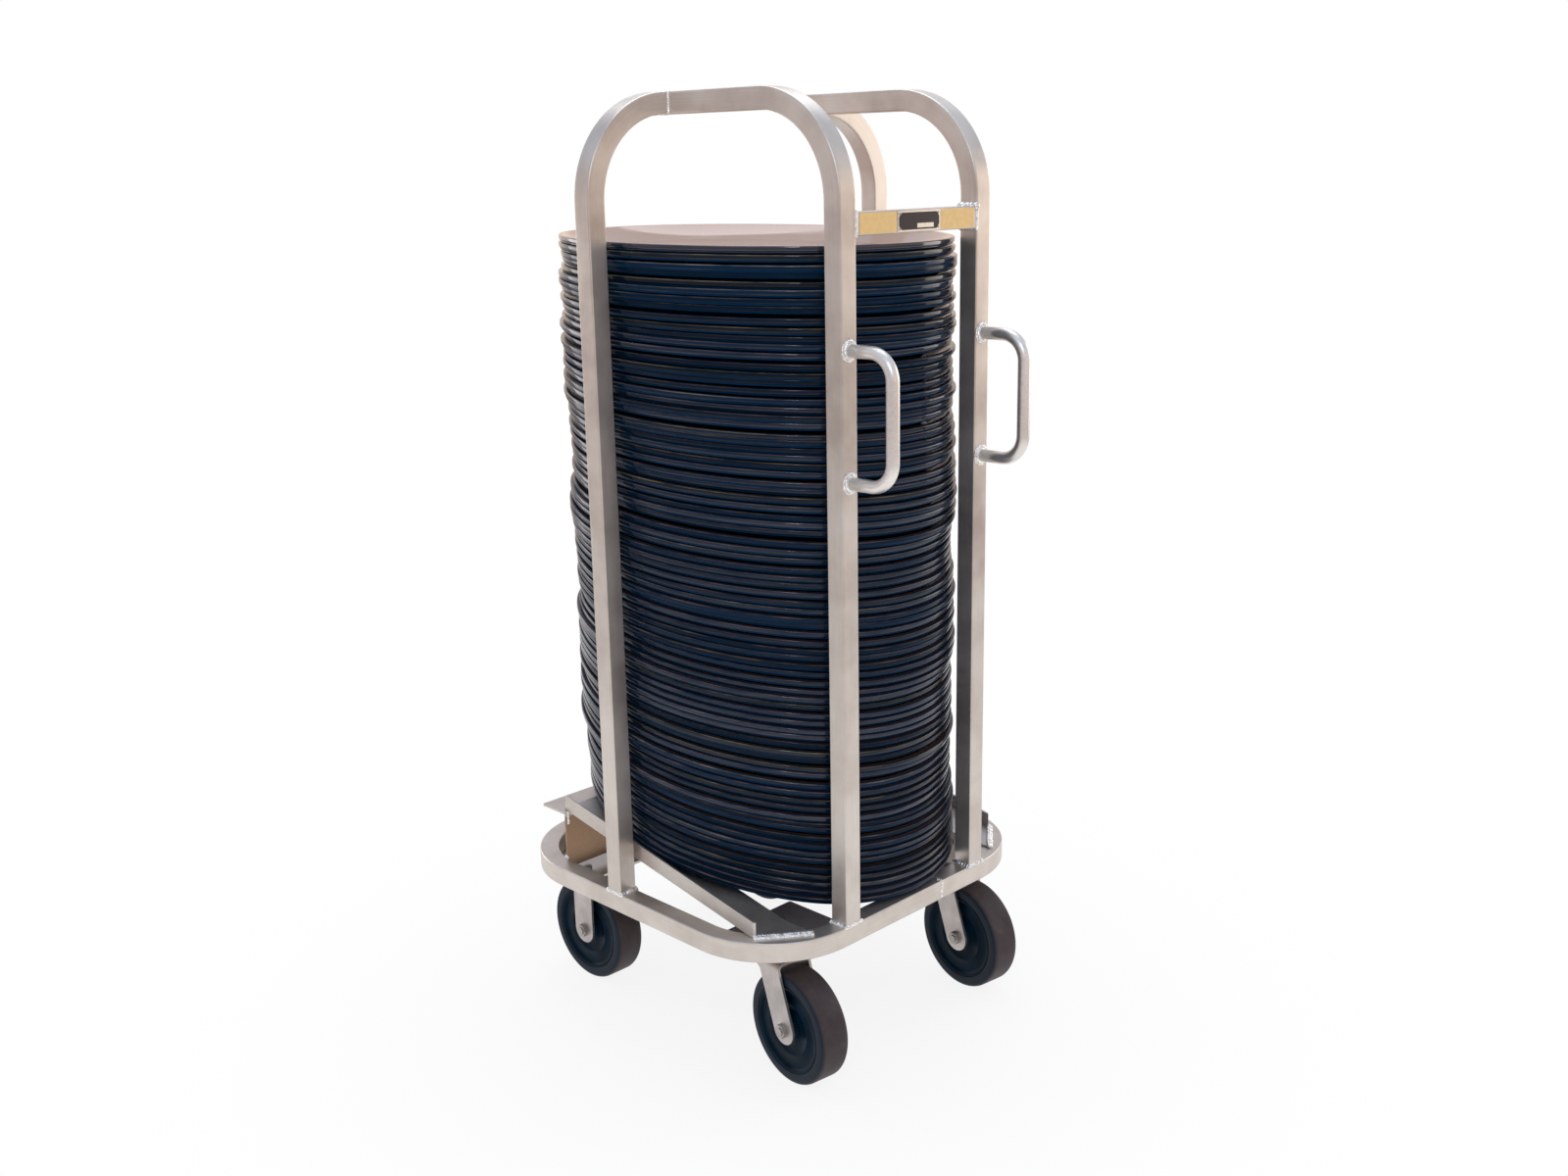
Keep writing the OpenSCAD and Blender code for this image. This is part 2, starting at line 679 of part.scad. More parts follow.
// Four mounting bolts with their nuts
module bolts(sx, sy) {
    head_h = bolt_d * 0.65;
    color(zinc) for (bx = [-1, 1]) for (by = [-1, 1])
        translate([sx * caster_x + bx * bolt_pitch_x / 2, sy * caster_y + by * bolt_pitch_y / 2, 0]) {
            translate([0, 0, pad_z - head_h]) cylinder(r = bolt_d * 0.9, h = head_h, $fn = 6);
            translate([0, 0, pad_z]) cylinder(d = bolt_d, h = pad_thick + corner_thick + head_h + 1.5);
            translate([0, 0, pad_top + corner_thick]) difference() {
                cylinder(r = bolt_d * 0.9, h = head_h, $fn = 6);
                translate([0, 0, -1]) cylinder(r = bolt_d / 2 + run_fit, h = head_h + 2);
            }
        }
}

// Distances in from the rim's edge, to the hundredth, so that all sectors of a tray match
function hundredth(v) = round(v * 100) / 100;
wall_grow = wall_run / (tray_height - rim_thick);
rim_low = tray_height - rim_thick;
ledge_z = hundredth(rim_low - shoulder_height);
foot_in = rim_width + wall_run;
ledge_in = hundredth(foot_in - wall_grow * ledge_z);
mouth_in = hundredth(foot_in - wall_grow * tray_height + wall_thick);
floor_in = hundredth(foot_in - wall_grow * floor_thick + wall_thick);

// Sector of a tray about one arc's centre: floor, sloping wall, stacking shoulder and rim
module tray_sector(r, half_ang) {
    rotate([0, 0, -half_ang]) rotate_extrude(angle = 2 * half_ang) polygon([
        [0, 0], [r - foot_in, 0], [r - ledge_in, ledge_z], [r - shoulder_in, ledge_z],
        [r - shoulder_in, rim_low], [r, rim_low], [r, tray_height], [r - mouth_in, tray_height],
        [r - floor_in, floor_thick], [0, floor_thick]]);
}

module tray() {
    for (s = [0, 180]) rotate([0, 0, s]) translate([end_x, 0, 0]) tray_sector(end_r, end_ang);
    for (s = [90, 270]) rotate([0, 0, s]) translate([-side_y, 0, 0])
        tray_sector(side_r, 90 - end_ang);
}

// A tray in its place, as seen from the frame of the tray numbered k
module placed_tray(i, k) {
    rotate([0, -tray_tilt(k), 0]) translate([0, 0, (i - k) * nest_pitch])
        rotate([0, tray_tilt(i), 0]) translate([tray_dx(i), tray_dy(i), 0])
            rotate([0, 0, tray_yaw(i)]) tray();
}

module trays(g) {
    low = g * group_size;
    high = min((g + 1) * group_size, top_index) - 1;
    mid = floor((low + high) / 2);
    color(black) translate([stack_x, 0, stack_z + mid * nest_pitch]) rotate([0, tray_tilt(mid), 0])
        for (i = [low : high]) placed_tray(i, mid);
}

module top_tray() {
    color(black) translate([stack_x, 0, stack_z + top_index * nest_pitch])
        rotate([0, tray_tilt(top_index), 0]) placed_tray(top_index, top_index);
}

base_ring();
corner_plate(1, -1);  // corner_plate_fn
corner_plate(1, 1);  // corner_plate_ff
corner_plate(-1, -1);  // corner_plate_rn
corner_plate(-1, 1);  // corner_plate_rf
hoop(-1);  // hoop_near
hoop(1);  // hoop_far
rear_post(-1);  // rear_post_near
rear_post(1);  // rear_post_far
crossbar();
blank_plate();
plate_face();
plate_rivets();
side_label(-1);  // side_label_near
side_label(1);  // side_label_far
handle(-1);  // handle_near
handle(1);  // handle_far
rail(-1);  // rail_near
rail(1);  // rail_far
cross_angle();
pad(-1);  // pad_fn
pad(1);  // pad_ff
king_pin(-1);  // king_pin_fn
king_pin(1);  // king_pin_ff
race(-1);  // race_fn
race(1);  // race_ff
fork(1, -1);  // fork_fn
fork(1, 1);  // fork_ff
fork(-1, -1);  // fork_rn
fork(-1, 1);  // fork_rf
bolts(1, -1);  // bolts_fn
bolts(1, 1);  // bolts_ff
bolts(-1, -1);  // bolts_rn
bolts(-1, 1);  // bolts_rf
tyre(1, -1);  // tyre_fn
tyre(1, 1);  // tyre_ff
tyre(-1, -1);  // tyre_rn
tyre(-1, 1);  // tyre_rf
core(1, -1);  // core_fn
core(1, 1);  // core_ff
core(-1, -1);  // core_rn
core(-1, 1);  // core_rf
bush(1, -1);  // bush_fn
bush(1, 1);  // bush_ff
bush(-1, -1);  // bush_rn
bush(-1, 1);  // bush_rf
axle(1, -1);  // axle_fn
axle(1, 1);  // axle_ff
axle(-1, -1);  // axle_rn
axle(-1, 1);  // axle_rf
trays(0);  // trays_1
trays(1);  // trays_2
trays(2);  // trays_3
trays(3);  // trays_4
trays(4);  // trays_5
trays(5);  // trays_6
trays(6);  // trays_7
trays(7);  // trays_8
top_tray();
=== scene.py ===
"""Looks of the oval tray cart: satin aluminium tube, weld beads, casters and the tray stack."""

import math

import bmesh
import bpy
from mathutils import Matrix, Vector


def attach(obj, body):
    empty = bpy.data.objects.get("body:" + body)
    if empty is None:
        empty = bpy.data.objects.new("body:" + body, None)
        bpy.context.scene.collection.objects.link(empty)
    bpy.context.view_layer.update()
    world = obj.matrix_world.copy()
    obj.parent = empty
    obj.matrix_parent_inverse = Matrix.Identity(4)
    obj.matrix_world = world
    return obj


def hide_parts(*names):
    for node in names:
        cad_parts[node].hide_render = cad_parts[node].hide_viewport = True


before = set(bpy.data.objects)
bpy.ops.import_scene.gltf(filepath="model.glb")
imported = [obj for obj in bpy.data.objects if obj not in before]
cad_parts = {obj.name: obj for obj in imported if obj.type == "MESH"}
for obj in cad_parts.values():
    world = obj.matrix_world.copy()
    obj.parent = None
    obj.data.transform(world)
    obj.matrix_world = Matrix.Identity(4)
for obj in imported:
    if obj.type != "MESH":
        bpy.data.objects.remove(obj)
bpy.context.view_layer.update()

MM = 0.001
V = Vector
X, Y, Z = V((1, 0, 0)), V((0, 1, 0)), V((0, 0, 1))

# Sizes of the frame in millimetres, as in the part's source
TUBE = 31.75
TUBE_WALL = 3.2
TUBE_CORNER = 2.4
TUBE_INNER_CORNER = 0.8
CROSSBAR_CORNER = 2.0
BEND = 139.7
HALF_L = 326.0
HALF_W = 322.0
RING_TOP = 248.25
RING_JOINT_Y = 62.0
POST_X = -29.6
POST_Y = HALF_W - TUBE / 2
POST_STUB = 2.75
HOOP_X = HALF_L - TUBE / 2
HOOP_Y = 147.8
HOOP_IN = HOOP_Y - TUBE / 2
BEND_Z = 1312.796
BAR_Z = BEND_Z + BEND
CROSSBAR_Z = 1281.921
HANDLE_Z = 1019.046
HANDLE_SPAN = 186.0
HANDLE_REACH = 79.0
HANDLE_ROD = 19.05
LIP_X, LIP_Y = 247.028, 283.25
RAIL_X, FLANGE_Y = 302.044, 213.25
CROSS_X = -190.962
CROSS_TOP = 330.25
CROSS_THICK = 4.5
CASTER_X, CASTER_Y = 221.3, 208.0
WHEEL_R = 88.9
WHEEL_HALF_W = 25.4
CORE_R = 71.0
TRAIL = 51.0
CASTER_YAW = math.radians(-7)

# The handles' bends are wider here than the source's 27, as the photograph shows them
HANDLE_BEND = 38.0

# The stack of trays: its slope at the bottom and at the top, and the bottom tray's place
SLOPE, TOP_SLOPE = math.radians(10.604105), math.radians(1)
STACK_X, STACK_Z = -8.825, 299.711
PITCH = 11.79
TRAYS = 80

# Kinds of nodes and settings that come up often
NOISE, RAMP, RANGE = "ShaderNodeTexNoise", "ShaderNodeValToRGB", "ShaderNodeMapRange"
MIX, MATH, VECTOR_MATH = "ShaderNodeMix", "ShaderNodeMath", "ShaderNodeVectorMath"
BUMP, MAPPING, ATTRIBUTE = "ShaderNodeBump", "ShaderNodeMapping", "ShaderNodeAttribute"
SPLIT, JOIN, RANDOM = "ShaderNodeSeparateXYZ", "ShaderNodeCombineXYZ", "FunctionNodeRandomValue"
PLUS, MINUS = {"operation": "ADD"}, {"operation": "SUBTRACT"}
TIMES, TIMES_PLUS = {"operation": "MULTIPLY"}, {"operation": "MULTIPLY_ADD"}
COLOURS, VECTORS = {"data_type": "RGBA"}, {"data_type": "FLOAT_VECTOR"}
EASED = {"interpolation_type": "SMOOTHSTEP"}


# Colours and nodes

def shade(code):
    """Linear colour of an sRGB hex value such as 'd8cfc4'."""
    out = []
    for i in (0, 2, 4):
        c = int(code[i:i + 2], 16) / 255
        out.append(c / 12.92 if c <= 0.04045 else ((c + 0.055) / 1.055) ** 2.4)
    return (*out, 1.0)


def fill_ramp(ramp, stops):
    """Stops of (place, colour), the colour a hex value, a linear grey or linear red, green, blue."""
    while len(ramp.elements) < len(stops):
        ramp.elements.new(0.5)
    for element, (place, colour) in zip(ramp.elements, stops):
        element.position = place
        if isinstance(colour, str):
            element.color = shade(colour)
        elif isinstance(colour, float):
            element.color = (colour, colour, colour, 1.0)
        else:
            element.color = (*colour, 1.0)


def wire(tree, node, *values, **links):
    """Fills a node's inputs in their order, by name, or by number as in i6. A value is set, and
    another node's output is linked; a node by itself stands for its first output."""
    for place, value in [*enumerate(values), *links.items()]:
        if isinstance(place, str):
            numbered = place[0] == "i" and place[1:].isdigit()
            place = int(place[1:]) if numbered else place.replace("_", " ")
        if isinstance(value, bpy.types.Node):
            value = value.outputs[0]
        if isinstance(value, bpy.types.NodeSocket):
            tree.links.new(value, node.inputs[place])
        else:
            node.inputs[place].default_value = value


def add(tree, kind, settings=None, *values, **links):
    """Adds a node with its settings, and fills its inputs."""
    node = tree.nodes.new(kind)
    for key, value in (settings or {}).items():
        if key == "stops":
            fill_ramp(node.color_ramp, value)
        else:
            setattr(node, key, value)
    wire(tree, node, *values, **links)
    return node


# Materials

def surface(name):
    """A new material with its tree, its Principled shader and its coordinates."""
    mat = bpy.data.materials.new(name)
    mat.use_nodes = True
    tree = mat.node_tree
    shader = next(n for n in tree.nodes if n.type == "BSDF_PRINCIPLED")
    return mat, tree, shader, tree.nodes.new("ShaderNodeTexCoord").outputs


def satin_aluminium(name, tone, along_uv, painted_shade=None, dulled=(0.30, 0.46)):
    """Extruded aluminium, lightly brushed along the tube: soft streaks, hand marks and dull patches. A
    painted shade, where given, is a darker brown tone painted low on the part behind and under the stack,
    where shade falls."""
    mat, tree, shader, where = surface(name)
    # Draw lines are 0.3 mm apart. So that they show, those along a tube are drawn 1.2 mm across
    # and 120 mm long, and those of sheet and rod 3 mm across and 17 mm long
    stretch = (8.0, 800.0, 1.0) if along_uv else (60.0, 300.0, 300.0)
    lines = add(tree, MAPPING, None, where["UV" if along_uv else "Object"], Scale=stretch)
    streak = add(tree, NOISE, None, lines, Scale=1.0, Detail=3.0)
    # Hand marks and dull patches are about 110 mm wide
    patch = add(tree, NOISE, None, where["Object"], Scale=9.0, Detail=4.0, Roughness=0.6)
    base = add(tree, RAMP, {"stops": [(0.30, tone[0]), (0.55, tone[1]), (0.78, tone[2])]}, patch)
    if painted_shade:
        # Painted shade: below this height the colour turns to the given darker brown, standing in for the
        # shade under the stack
        painted_shade_top, fade = 0.3235, 0.004
        height = add(tree, SPLIT, None, where["Object"]).outputs["Z"]
        low = add(tree, RANGE, None, height, From_Min=painted_shade_top, From_Max=painted_shade_top - fade)
        base = add(tree, MIX, COLOURS, low, i6=base, i7=shade(painted_shade)).outputs[2]
    fine = add(tree, RAMP, {"stops": [(0.30, 0.90), (0.65, 1.0)]}, streak)
    colour = add(tree, MIX, {"data_type": "RGBA", "blend_type": "MULTIPLY"}, 1.0, i6=base, i7=fine)
    dull = add(tree, RAMP, {"stops": [(0.25, dulled[0]), (0.75, dulled[1])]}, patch)
    bump = add(tree, BUMP, None, Height=streak, Strength=0.06, Distance=0.0004)
    # The thin grey oxide scatters a little light of its own
    wire(tree, shader, Base_Color=colour.outputs[2], Roughness=dull, Normal=bump, Metallic=0.82)
    return mat


def weld_metal():
    """Aluminium weld metal: freshly frozen ripples, shinier and whiter than the tube, with
    specks of soot about 6 mm wide."""
    mat, tree, shader, where = surface("aluminium_weld")
    soot = add(tree, NOISE, None, where["Object"], Scale=160.0, Detail=3.0)
    tint = add(tree, RAMP, {"stops": [(0.30, "cfc9c4"), (0.55, "f6f3f0")]}, soot)
    wire(tree, shader, Base_Color=tint, Metallic=0.9, Roughness=0.24)
    return mat


def plated_steel(name, tone):
    """Zinc plated pressed steel: pale grey, clouded over 30 mm, its shine broken by a faint
    spangle 4 to 5 mm across. The bushes' oiled bronze is clouded in the same way."""
    mat, tree, shader, where = surface(name)
    spangle = add(tree, "ShaderNodeTexVoronoi", None, where["Object"], Scale=220.0)
    cloud = add(tree, NOISE, None, where["Object"], Scale=35.0, Detail=4.0)
    tint = add(tree, RAMP, {"stops": [(0.30, tone[0]), (0.70, tone[1])]}, cloud)
    dull = add(tree, RAMP, {"stops": [(0.0, 0.34), (1.0, 0.50)]}, spangle.outputs["Color"])
    wire(tree, shader, Base_Color=tint, Roughness=dull, Metallic=0.85)
    return mat


def tread_rubber():
    """Moulded hard rubber, black, its sides painted navy as a painted reflection, and greyed with dust
    where the tread rolls.
    """
    mat, tree, shader, where = surface("tread_rubber")
    dust = add(tree, NOISE, None, where["Object"], Scale=28.0, Detail=6.0, Roughness=0.65)
    rolled = add(tree, RAMP, {"stops": [(0.35, "3b3233"), (0.60, "473d3e"), (0.78, "5a4f4d")]}, dust)
    # The sides' navy tone is a painted reflection on the black rubber
    side = add(tree, RAMP, {"stops": [(0.40, "031524"), (0.75, "0b2030")]}, dust)
    dusty = add(tree, ATTRIBUTE, {"attribute_name": "tread_dust"})
    tint = add(tree, MIX, COLOURS, dusty.outputs["Fac"], i6=side, i7=rolled)
    # The moulded grain is about 1 mm
    grain = add(tree, NOISE, None, where["Object"], Scale=900.0, Detail=2.0)
    bump = add(tree, BUMP, None, Height=grain, Strength=0.15, Distance=0.0003)
    wire(tree, shader, Base_Color=tint.outputs[2], Normal=bump, Roughness=0.55, Specular_IOR_Level=0.25)
    return mat


def moulded_nylon():
    """Injection moulded nylon, nearly black, cloudy over about 25 mm, with a faint sheen."""
    mat, tree, shader, where = surface("nylon_core")
    cloud = add(tree, NOISE, None, where["Object"], Scale=40.0, Detail=4.0)
    tint = add(tree, RAMP, {"stops": [(0.35, "02151f"), (0.70, "062234")]}, cloud)
    wire(tree, shader, Base_Color=tint, Roughness=0.3, Specular_IOR_Level=0.05)
    return mat


def tray_glass_fibre(name, gloss, lining):
    """Pressed glass fibre with a gloss resin skin, blue-black. Its rim's top edges are painted with thin
    pale lines, partly scuffed wear and partly painted highlight, and two of its shoulders are painted
    brown in patches. The gloss is high on the clean top tray."""
    mat, tree, shader, where = surface(name)
    rim = add(tree, ATTRIBUTE, {"attribute_name": "rim_edge"}).outputs["Fac"]
    number = add(tree, ATTRIBUTE, {"attribute_name": "tray_number"}).outputs["Fac"]
    inside = add(tree, ATTRIBUTE, {"attribute_name": "lining"}).outputs["Fac"]
    pick = add(tree, "ShaderNodeTexWhiteNoise", {"noise_dimensions": "1D"}, W=number)
    # Scuffs, which also break the painted highlight lines into dashes, are about 100 mm long and 8 mm
    # high, and follow the rim
    flat = add(tree, MAPPING, None, where["Object"], Scale=(10.0, 10.0, 120.0))
    scuff = add(tree, NOISE, None, flat, Scale=1.0, Detail=5.0, Roughness=0.7)
    edge = add(tree, RANGE, None, rim, From_Min=0.6)
    band = add(tree, RANGE, None, rim, From_Max=0.5)
    # Each tray has its own depth of black on its rim's band
    body = add(tree, RAMP, {"stops": [(0.0, "001524"), (0.5, "002036"), (0.8, "02141f"),
                                      (1.0, "00263f")]}, pick)
    deep = add(tree, MIX, COLOURS, band, i6=shade("022d4c"), i7=body)
    # The rim's top edges are painted paler in thin lines: partly scuffed wear, partly painted highlight
    wear_and_highlight = add(tree, RAMP, {"stops": [(0.42, 0.10), (0.56, 0.5), (0.68, 1.0)]}, scuff)
    wear_and_highlight_tone = add(tree, RAMP, {"stops": [(0.0, "4c4046"), (0.45, "6e5c5e"), (0.70, "75604f"),
                                       (0.85, "7d7458"), (1.0, "958c88")]}, pick)
    wear_and_highlight_mixed = add(tree, MIX, COLOURS, add(tree, MATH, TIMES, wear_and_highlight, edge), i6=deep.outputs[2], i7=wear_and_highlight_tone)
    # Two of the oval's shoulders, where x and y together are largest, are painted brown in patches
    axis = add(tree, SPLIT, None, where["Object"]).outputs
    reach = add(tree, MATH, {"operation": "ABSOLUTE"}, add(tree, MATH, PLUS, axis["X"], axis["Y"]))
    shoulder = add(tree, RANGE, EASED, reach, From_Min=0.424, From_Max=0.4345)
    brown_patches = add(tree, RAMP, {"stops": [(0.52, 0.0), (0.66, 0.55)]}, scuff)
    brown_shoulder_share = add(tree, MATH, TIMES, add(tree, MATH, TIMES, shoulder, brown_patches), band)
    browner = add(tree, RAMP, {"stops": [(0.0, "7d5229"), (0.5, "553720"), (0.75, "6f6434"),
                                         (1.0, "857c74")]}, pick)
    brown = add(tree, MIX, COLOURS, brown_shoulder_share, i6=wear_and_highlight_mixed.outputs[2], i7=browner)
    # The dish has a smooth tan lining, which shows inside the top tray and on stray rims. On the stacked
    # trays its given tone is darker and browner, as painted shade.
    lined = add(tree, MIX, COLOURS, inside, i6=brown.outputs[2], i7=shade(lining))
    haze = add(tree, RAMP, {"stops": [(0.50, 0.07), (0.78, 0.26)]}, scuff)
    # Some rims are polished by handling and mirror the brown room; others have stayed dull
    polish = add(tree, RAMP, {"stops": [(0.0, 0.06), (0.35, 0.70), (0.50, 0.14), (0.72, 0.03),
                                        (0.85, 0.50), (1.0, 0.08)]}, pick)
    smear = add(tree, RAMP, {"stops": [(0.30, 0.45), (0.60, 1.0)]}, scuff)
    shine = add(tree, MATH, TIMES, add(tree, MATH, TIMES, polish, smear), band)
    glint = add(tree, MATH, PLUS, shine, gloss)
    wire(tree, shader, Base_Color=lined.outputs[2], Roughness=haze, Specular_IOR_Level=glint,
         Specular_Tint=(0.90, 0.82, 0.84, 1.0))
    return mat


def enamel(name, code, roughness):
    """Sprayed enamel or printed film with slight mottling, about 8 mm across."""
    mat, tree, shader, where = surface(name)
    mottle = add(tree, NOISE, None, where["Object"], Scale=120.0, Detail=3.0)
    base = shade(code)[:3]
    dark = tuple(c * 0.92 for c in base)
    tint = add(tree, RAMP, {"stops": [(0.35, dark), (0.65, base)]}, mottle)
    wire(tree, shader, Base_Color=tint, Roughness=roughness)
    return mat


SHEET_TONES = ("bdb3aa", "d2c9c1", "ddd6cf")
TUBE_SKIN = satin_aluminium("aluminium_tube", ("c6bbb2", "dcd3ca", "e6dfd8"), True)
SHEET_SKIN = satin_aluminium("aluminium_sheet", SHEET_TONES, False)
# The cross angle under the stack is painted a darker brown low down, as painted shade
ANGLE_SKIN = satin_aluminium("aluminium_shaded_low", SHEET_TONES, False, painted_shade="a1836a")
ROD_SKIN = satin_aluminium("aluminium_rod", ("ebe4dd", "f3eee8", "f8f5f1"), False,
                           dulled=(0.30, 0.40))
PLATE = satin_aluminium("plate_aluminium", ("d8d0c0", "e9e2d4", "f1ecdf"), False)
WELD = weld_metal()
CASTER_ZINC = plated_steel("zinc_fork", ("aea7a3", "c6beba"))
BOLT_ZINC = plated_steel("zinc_bolt", ("9a9691", "b9b5b0"))
BRONZE = plated_steel("oiled_bronze", ("6d5a38", "8f7748"))
TREAD = tread_rubber()
CORE = moulded_nylon()
# The stacked trays' lining is the top tray's tan painted darker and browner, as painted shade between the
# nested trays
TRAY = tray_glass_fibre("tray_glass_fibre", 0.03, "6e4c30")
TOP_TRAY = tray_glass_fibre("tray_glass_fibre_clean", 0.9, "b39684")
PLATE_FIELD = enamel("plate_enamel", "24161c", 0.3)
LABEL = enamel("label_film", "f2ca84", 0.4)


# Meshes

def closed_mesh(name, bm):
    """The mesh of a closed shape, with its faces turned outwards."""
    bmesh.ops.recalc_face_normals(bm, faces=bm.faces)
    mesh = bpy.data.meshes.new(name)
    bm.to_mesh(mesh)
    bm.free()
    return mesh


def skin_rings(bm, rings, gaps):
    """Smooth faces from each ring of points to the next, over so many gaps between points."""
    for r0, r1 in zip(rings, rings[1:]):
        for k in range(gaps):
            ahead = (k + 1) % len(r0)
            bm.faces.new([r0[k], r1[k], r1[ahead], r0[ahead]]).smooth = True


def piece(name, mesh, body, material, nodes=()):
    """Links a mesh as a piece that rides on a body, takes a slot and stands for CAD nodes."""
    obj = bpy.data.objects.new(name, mesh)
    bpy.context.scene.collection.objects.link(obj)
    if not mesh.materials:
        mesh.materials.append(material)
    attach(obj, body)
    if nodes:
        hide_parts(*nodes)
    return obj


def weighted(obj):
    """Keeps flat sides flat in the light and rounds only the corners."""
    mod = obj.modifiers.new("corner_light", "WEIGHTED_NORMAL")
    mod.weight = 80
    mod.keep_sharp = True


def rounded_square(size, radius, steps=4):
    """Points of a square with rounded corners, anticlockwise."""
    h = size / 2 - radius
    pts = []
    for k, (sx, sy) in enumerate(((1, 1), (-1, 1), (-1, -1), (1, -1))):
        for i in range(steps + 1):
            a = math.radians(90 * k + 90 * i / steps)
            pts.append((sx * h + radius * math.cos(a), sy * h + radius * math.sin(a)))
    return pts


def straight(a, b, across, outward, count=2):
    """Frames of (centre, across, outward) along a straight run."""
    return [(a.lerp(b, i / (count - 1)), across, outward) for i in range(count)]


def bend(centre, radius, from_dir, to_dir, across, steps=28):
    """Frames round a quarter bend; from_dir and to_dir are the outward directions at its ends."""
    out = []
    for i in range(1, steps):
        a = math.radians(90 * i / steps)
        o = from_dir * math.cos(a) + to_dir * math.sin(a)
        out.append((centre + o * radius, across, o))
    return out


def square_sweep(name, path, radius, closed=False, wall=0.0):
    """Square tube with rounded corners along a path of frames in millimetres. Its UV map runs
    along the tube and round it, both in metres."""
    outer = rounded_square(TUBE, radius)
    bm = bmesh.new()
    uv = bm.loops.layers.uv.new("UVMap")

    def rings_of(points):
        return [[bm.verts.new((c + a * p[0] + b * p[1]) * MM) for p in points] for c, a, b in path]

    lengths = [0.0]
    for p, q in zip(path, path[1:] + path[:1]):
        lengths.append(lengths[-1] + (q[0] - p[0]).length * MM)
    around = [0.0]
    for p, q in zip(outer, outer[1:] + outer[:1]):
        around.append(around[-1] + math.dist(p, q) * MM)

    def skin(rings, flip):
        n = len(rings)
        for i in range(n if closed else n - 1):
            r0, r1 = rings[i], rings[(i + 1) % n]
            m = len(r0)
            for j in range(m):
                k = (j + 1) % m
                quad = [(r0[j], i, j), (r0[k], i, j + 1), (r1[k], i + 1, j + 1), (r1[j], i + 1, j)]
                if flip:
                    quad.reverse()
                face = bm.faces.new([v for v, _, _ in quad])
                face.smooth = True
                for loop, (_, ii, jj) in zip(face.loops, quad):
                    loop[uv].uv = (lengths[ii], around[jj])

    outers = rings_of(outer)
    skin(outers, False)
    if wall:
        inners = rings_of(rounded_square(TUBE - 2 * wall, TUBE_INNER_CORNER))
        skin(inners, True)
        for rim, bore in ((outers[0], inners[0]), (outers[-1], inners[-1])):
            for j in range(len(rim)):
                k = (j + 1) % len(rim)
                bm.faces.new([rim[j], bore[j], bore[k], rim[k]])
    elif not closed:
        bm.faces.new(outers[0][::-1])
        bm.faces.new(outers[-1])
    return closed_mesh(name, bm)


def round_sweep(name, path, radius, steps=24):
    """Round bar along a path of frames in millimetres."""
    bm = bmesh.new()
    rings = []
    for c, a, b in path:
        rings.append([bm.verts.new((c + (a * math.cos(t) + b * math.sin(t)) * radius) * MM)
                      for t in (math.tau * k / steps for k in range(steps))])
    skin_rings(bm, rings, steps)
    bm.faces.new(rings[0][::-1])
    bm.faces.new(rings[-1])
    return closed_mesh(name, bm)


def lathe(name, profile, centre, axis, steps):
    """Closed ring turned from a profile of (radius, place along the axis) in millimetres. It is
    dusty near the tread's rolling face."""
    u = axis.cross(Z).normalized()
    dust_from, dust_full = WHEEL_R - 3.5, WHEEL_R - 0.5
    bm = bmesh.new()
    dust = bm.verts.layers.float.new("tread_dust")
    rings = []
    for k in range(steps):
        t = math.tau * k / steps
        out = u * math.cos(t) + Z * math.sin(t)
        rings.append([bm.verts.new((centre + out * r + axis * p) * MM) for r, p in profile])
        for vert, (r, _) in zip(rings[-1], profile):
            vert[dust] = min(1.0, max(0.0, (r - dust_from) / (dust_full - dust_from)))
    skin_rings(bm, rings + rings[:1], len(profile))
    return closed_mesh(name, bm)


def finish_node(node, material):
    """A CAD node keeps its shape and gets its material."""
    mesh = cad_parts[node].data
    mesh.materials.clear()
    mesh.materials.append(material)


def dressed(node, body, material, width, angle=35, steps=2):
    """A copy of a CAD node whose sharp edges are broken by a small round."""
    bm = bmesh.new()
    bm.from_mesh(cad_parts[node].data)
    bmesh.ops.remove_doubles(bm, verts=bm.verts, dist=2e-6)
    bmesh.ops.dissolve_limit(bm, angle_limit=math.radians(0.6), verts=bm.verts, edges=bm.edges)
    edges = [e for e in bm.edges
             if len(e.link_faces) == 2 and e.calc_face_angle(0.0) > math.radians(angle)]
    bmesh.ops.bevel(bm, geom=edges, offset=width * MM, segments=steps, profile=0.5,
                    affect="EDGES", clamp_overlap=True)
    for face in bm.faces:
        face.smooth = True
    mesh = closed_mesh(node + "_dressed", bm)
    weighted(piece(node + "_dressed", mesh, body, material, [node]))


# Frame, handles and wheels

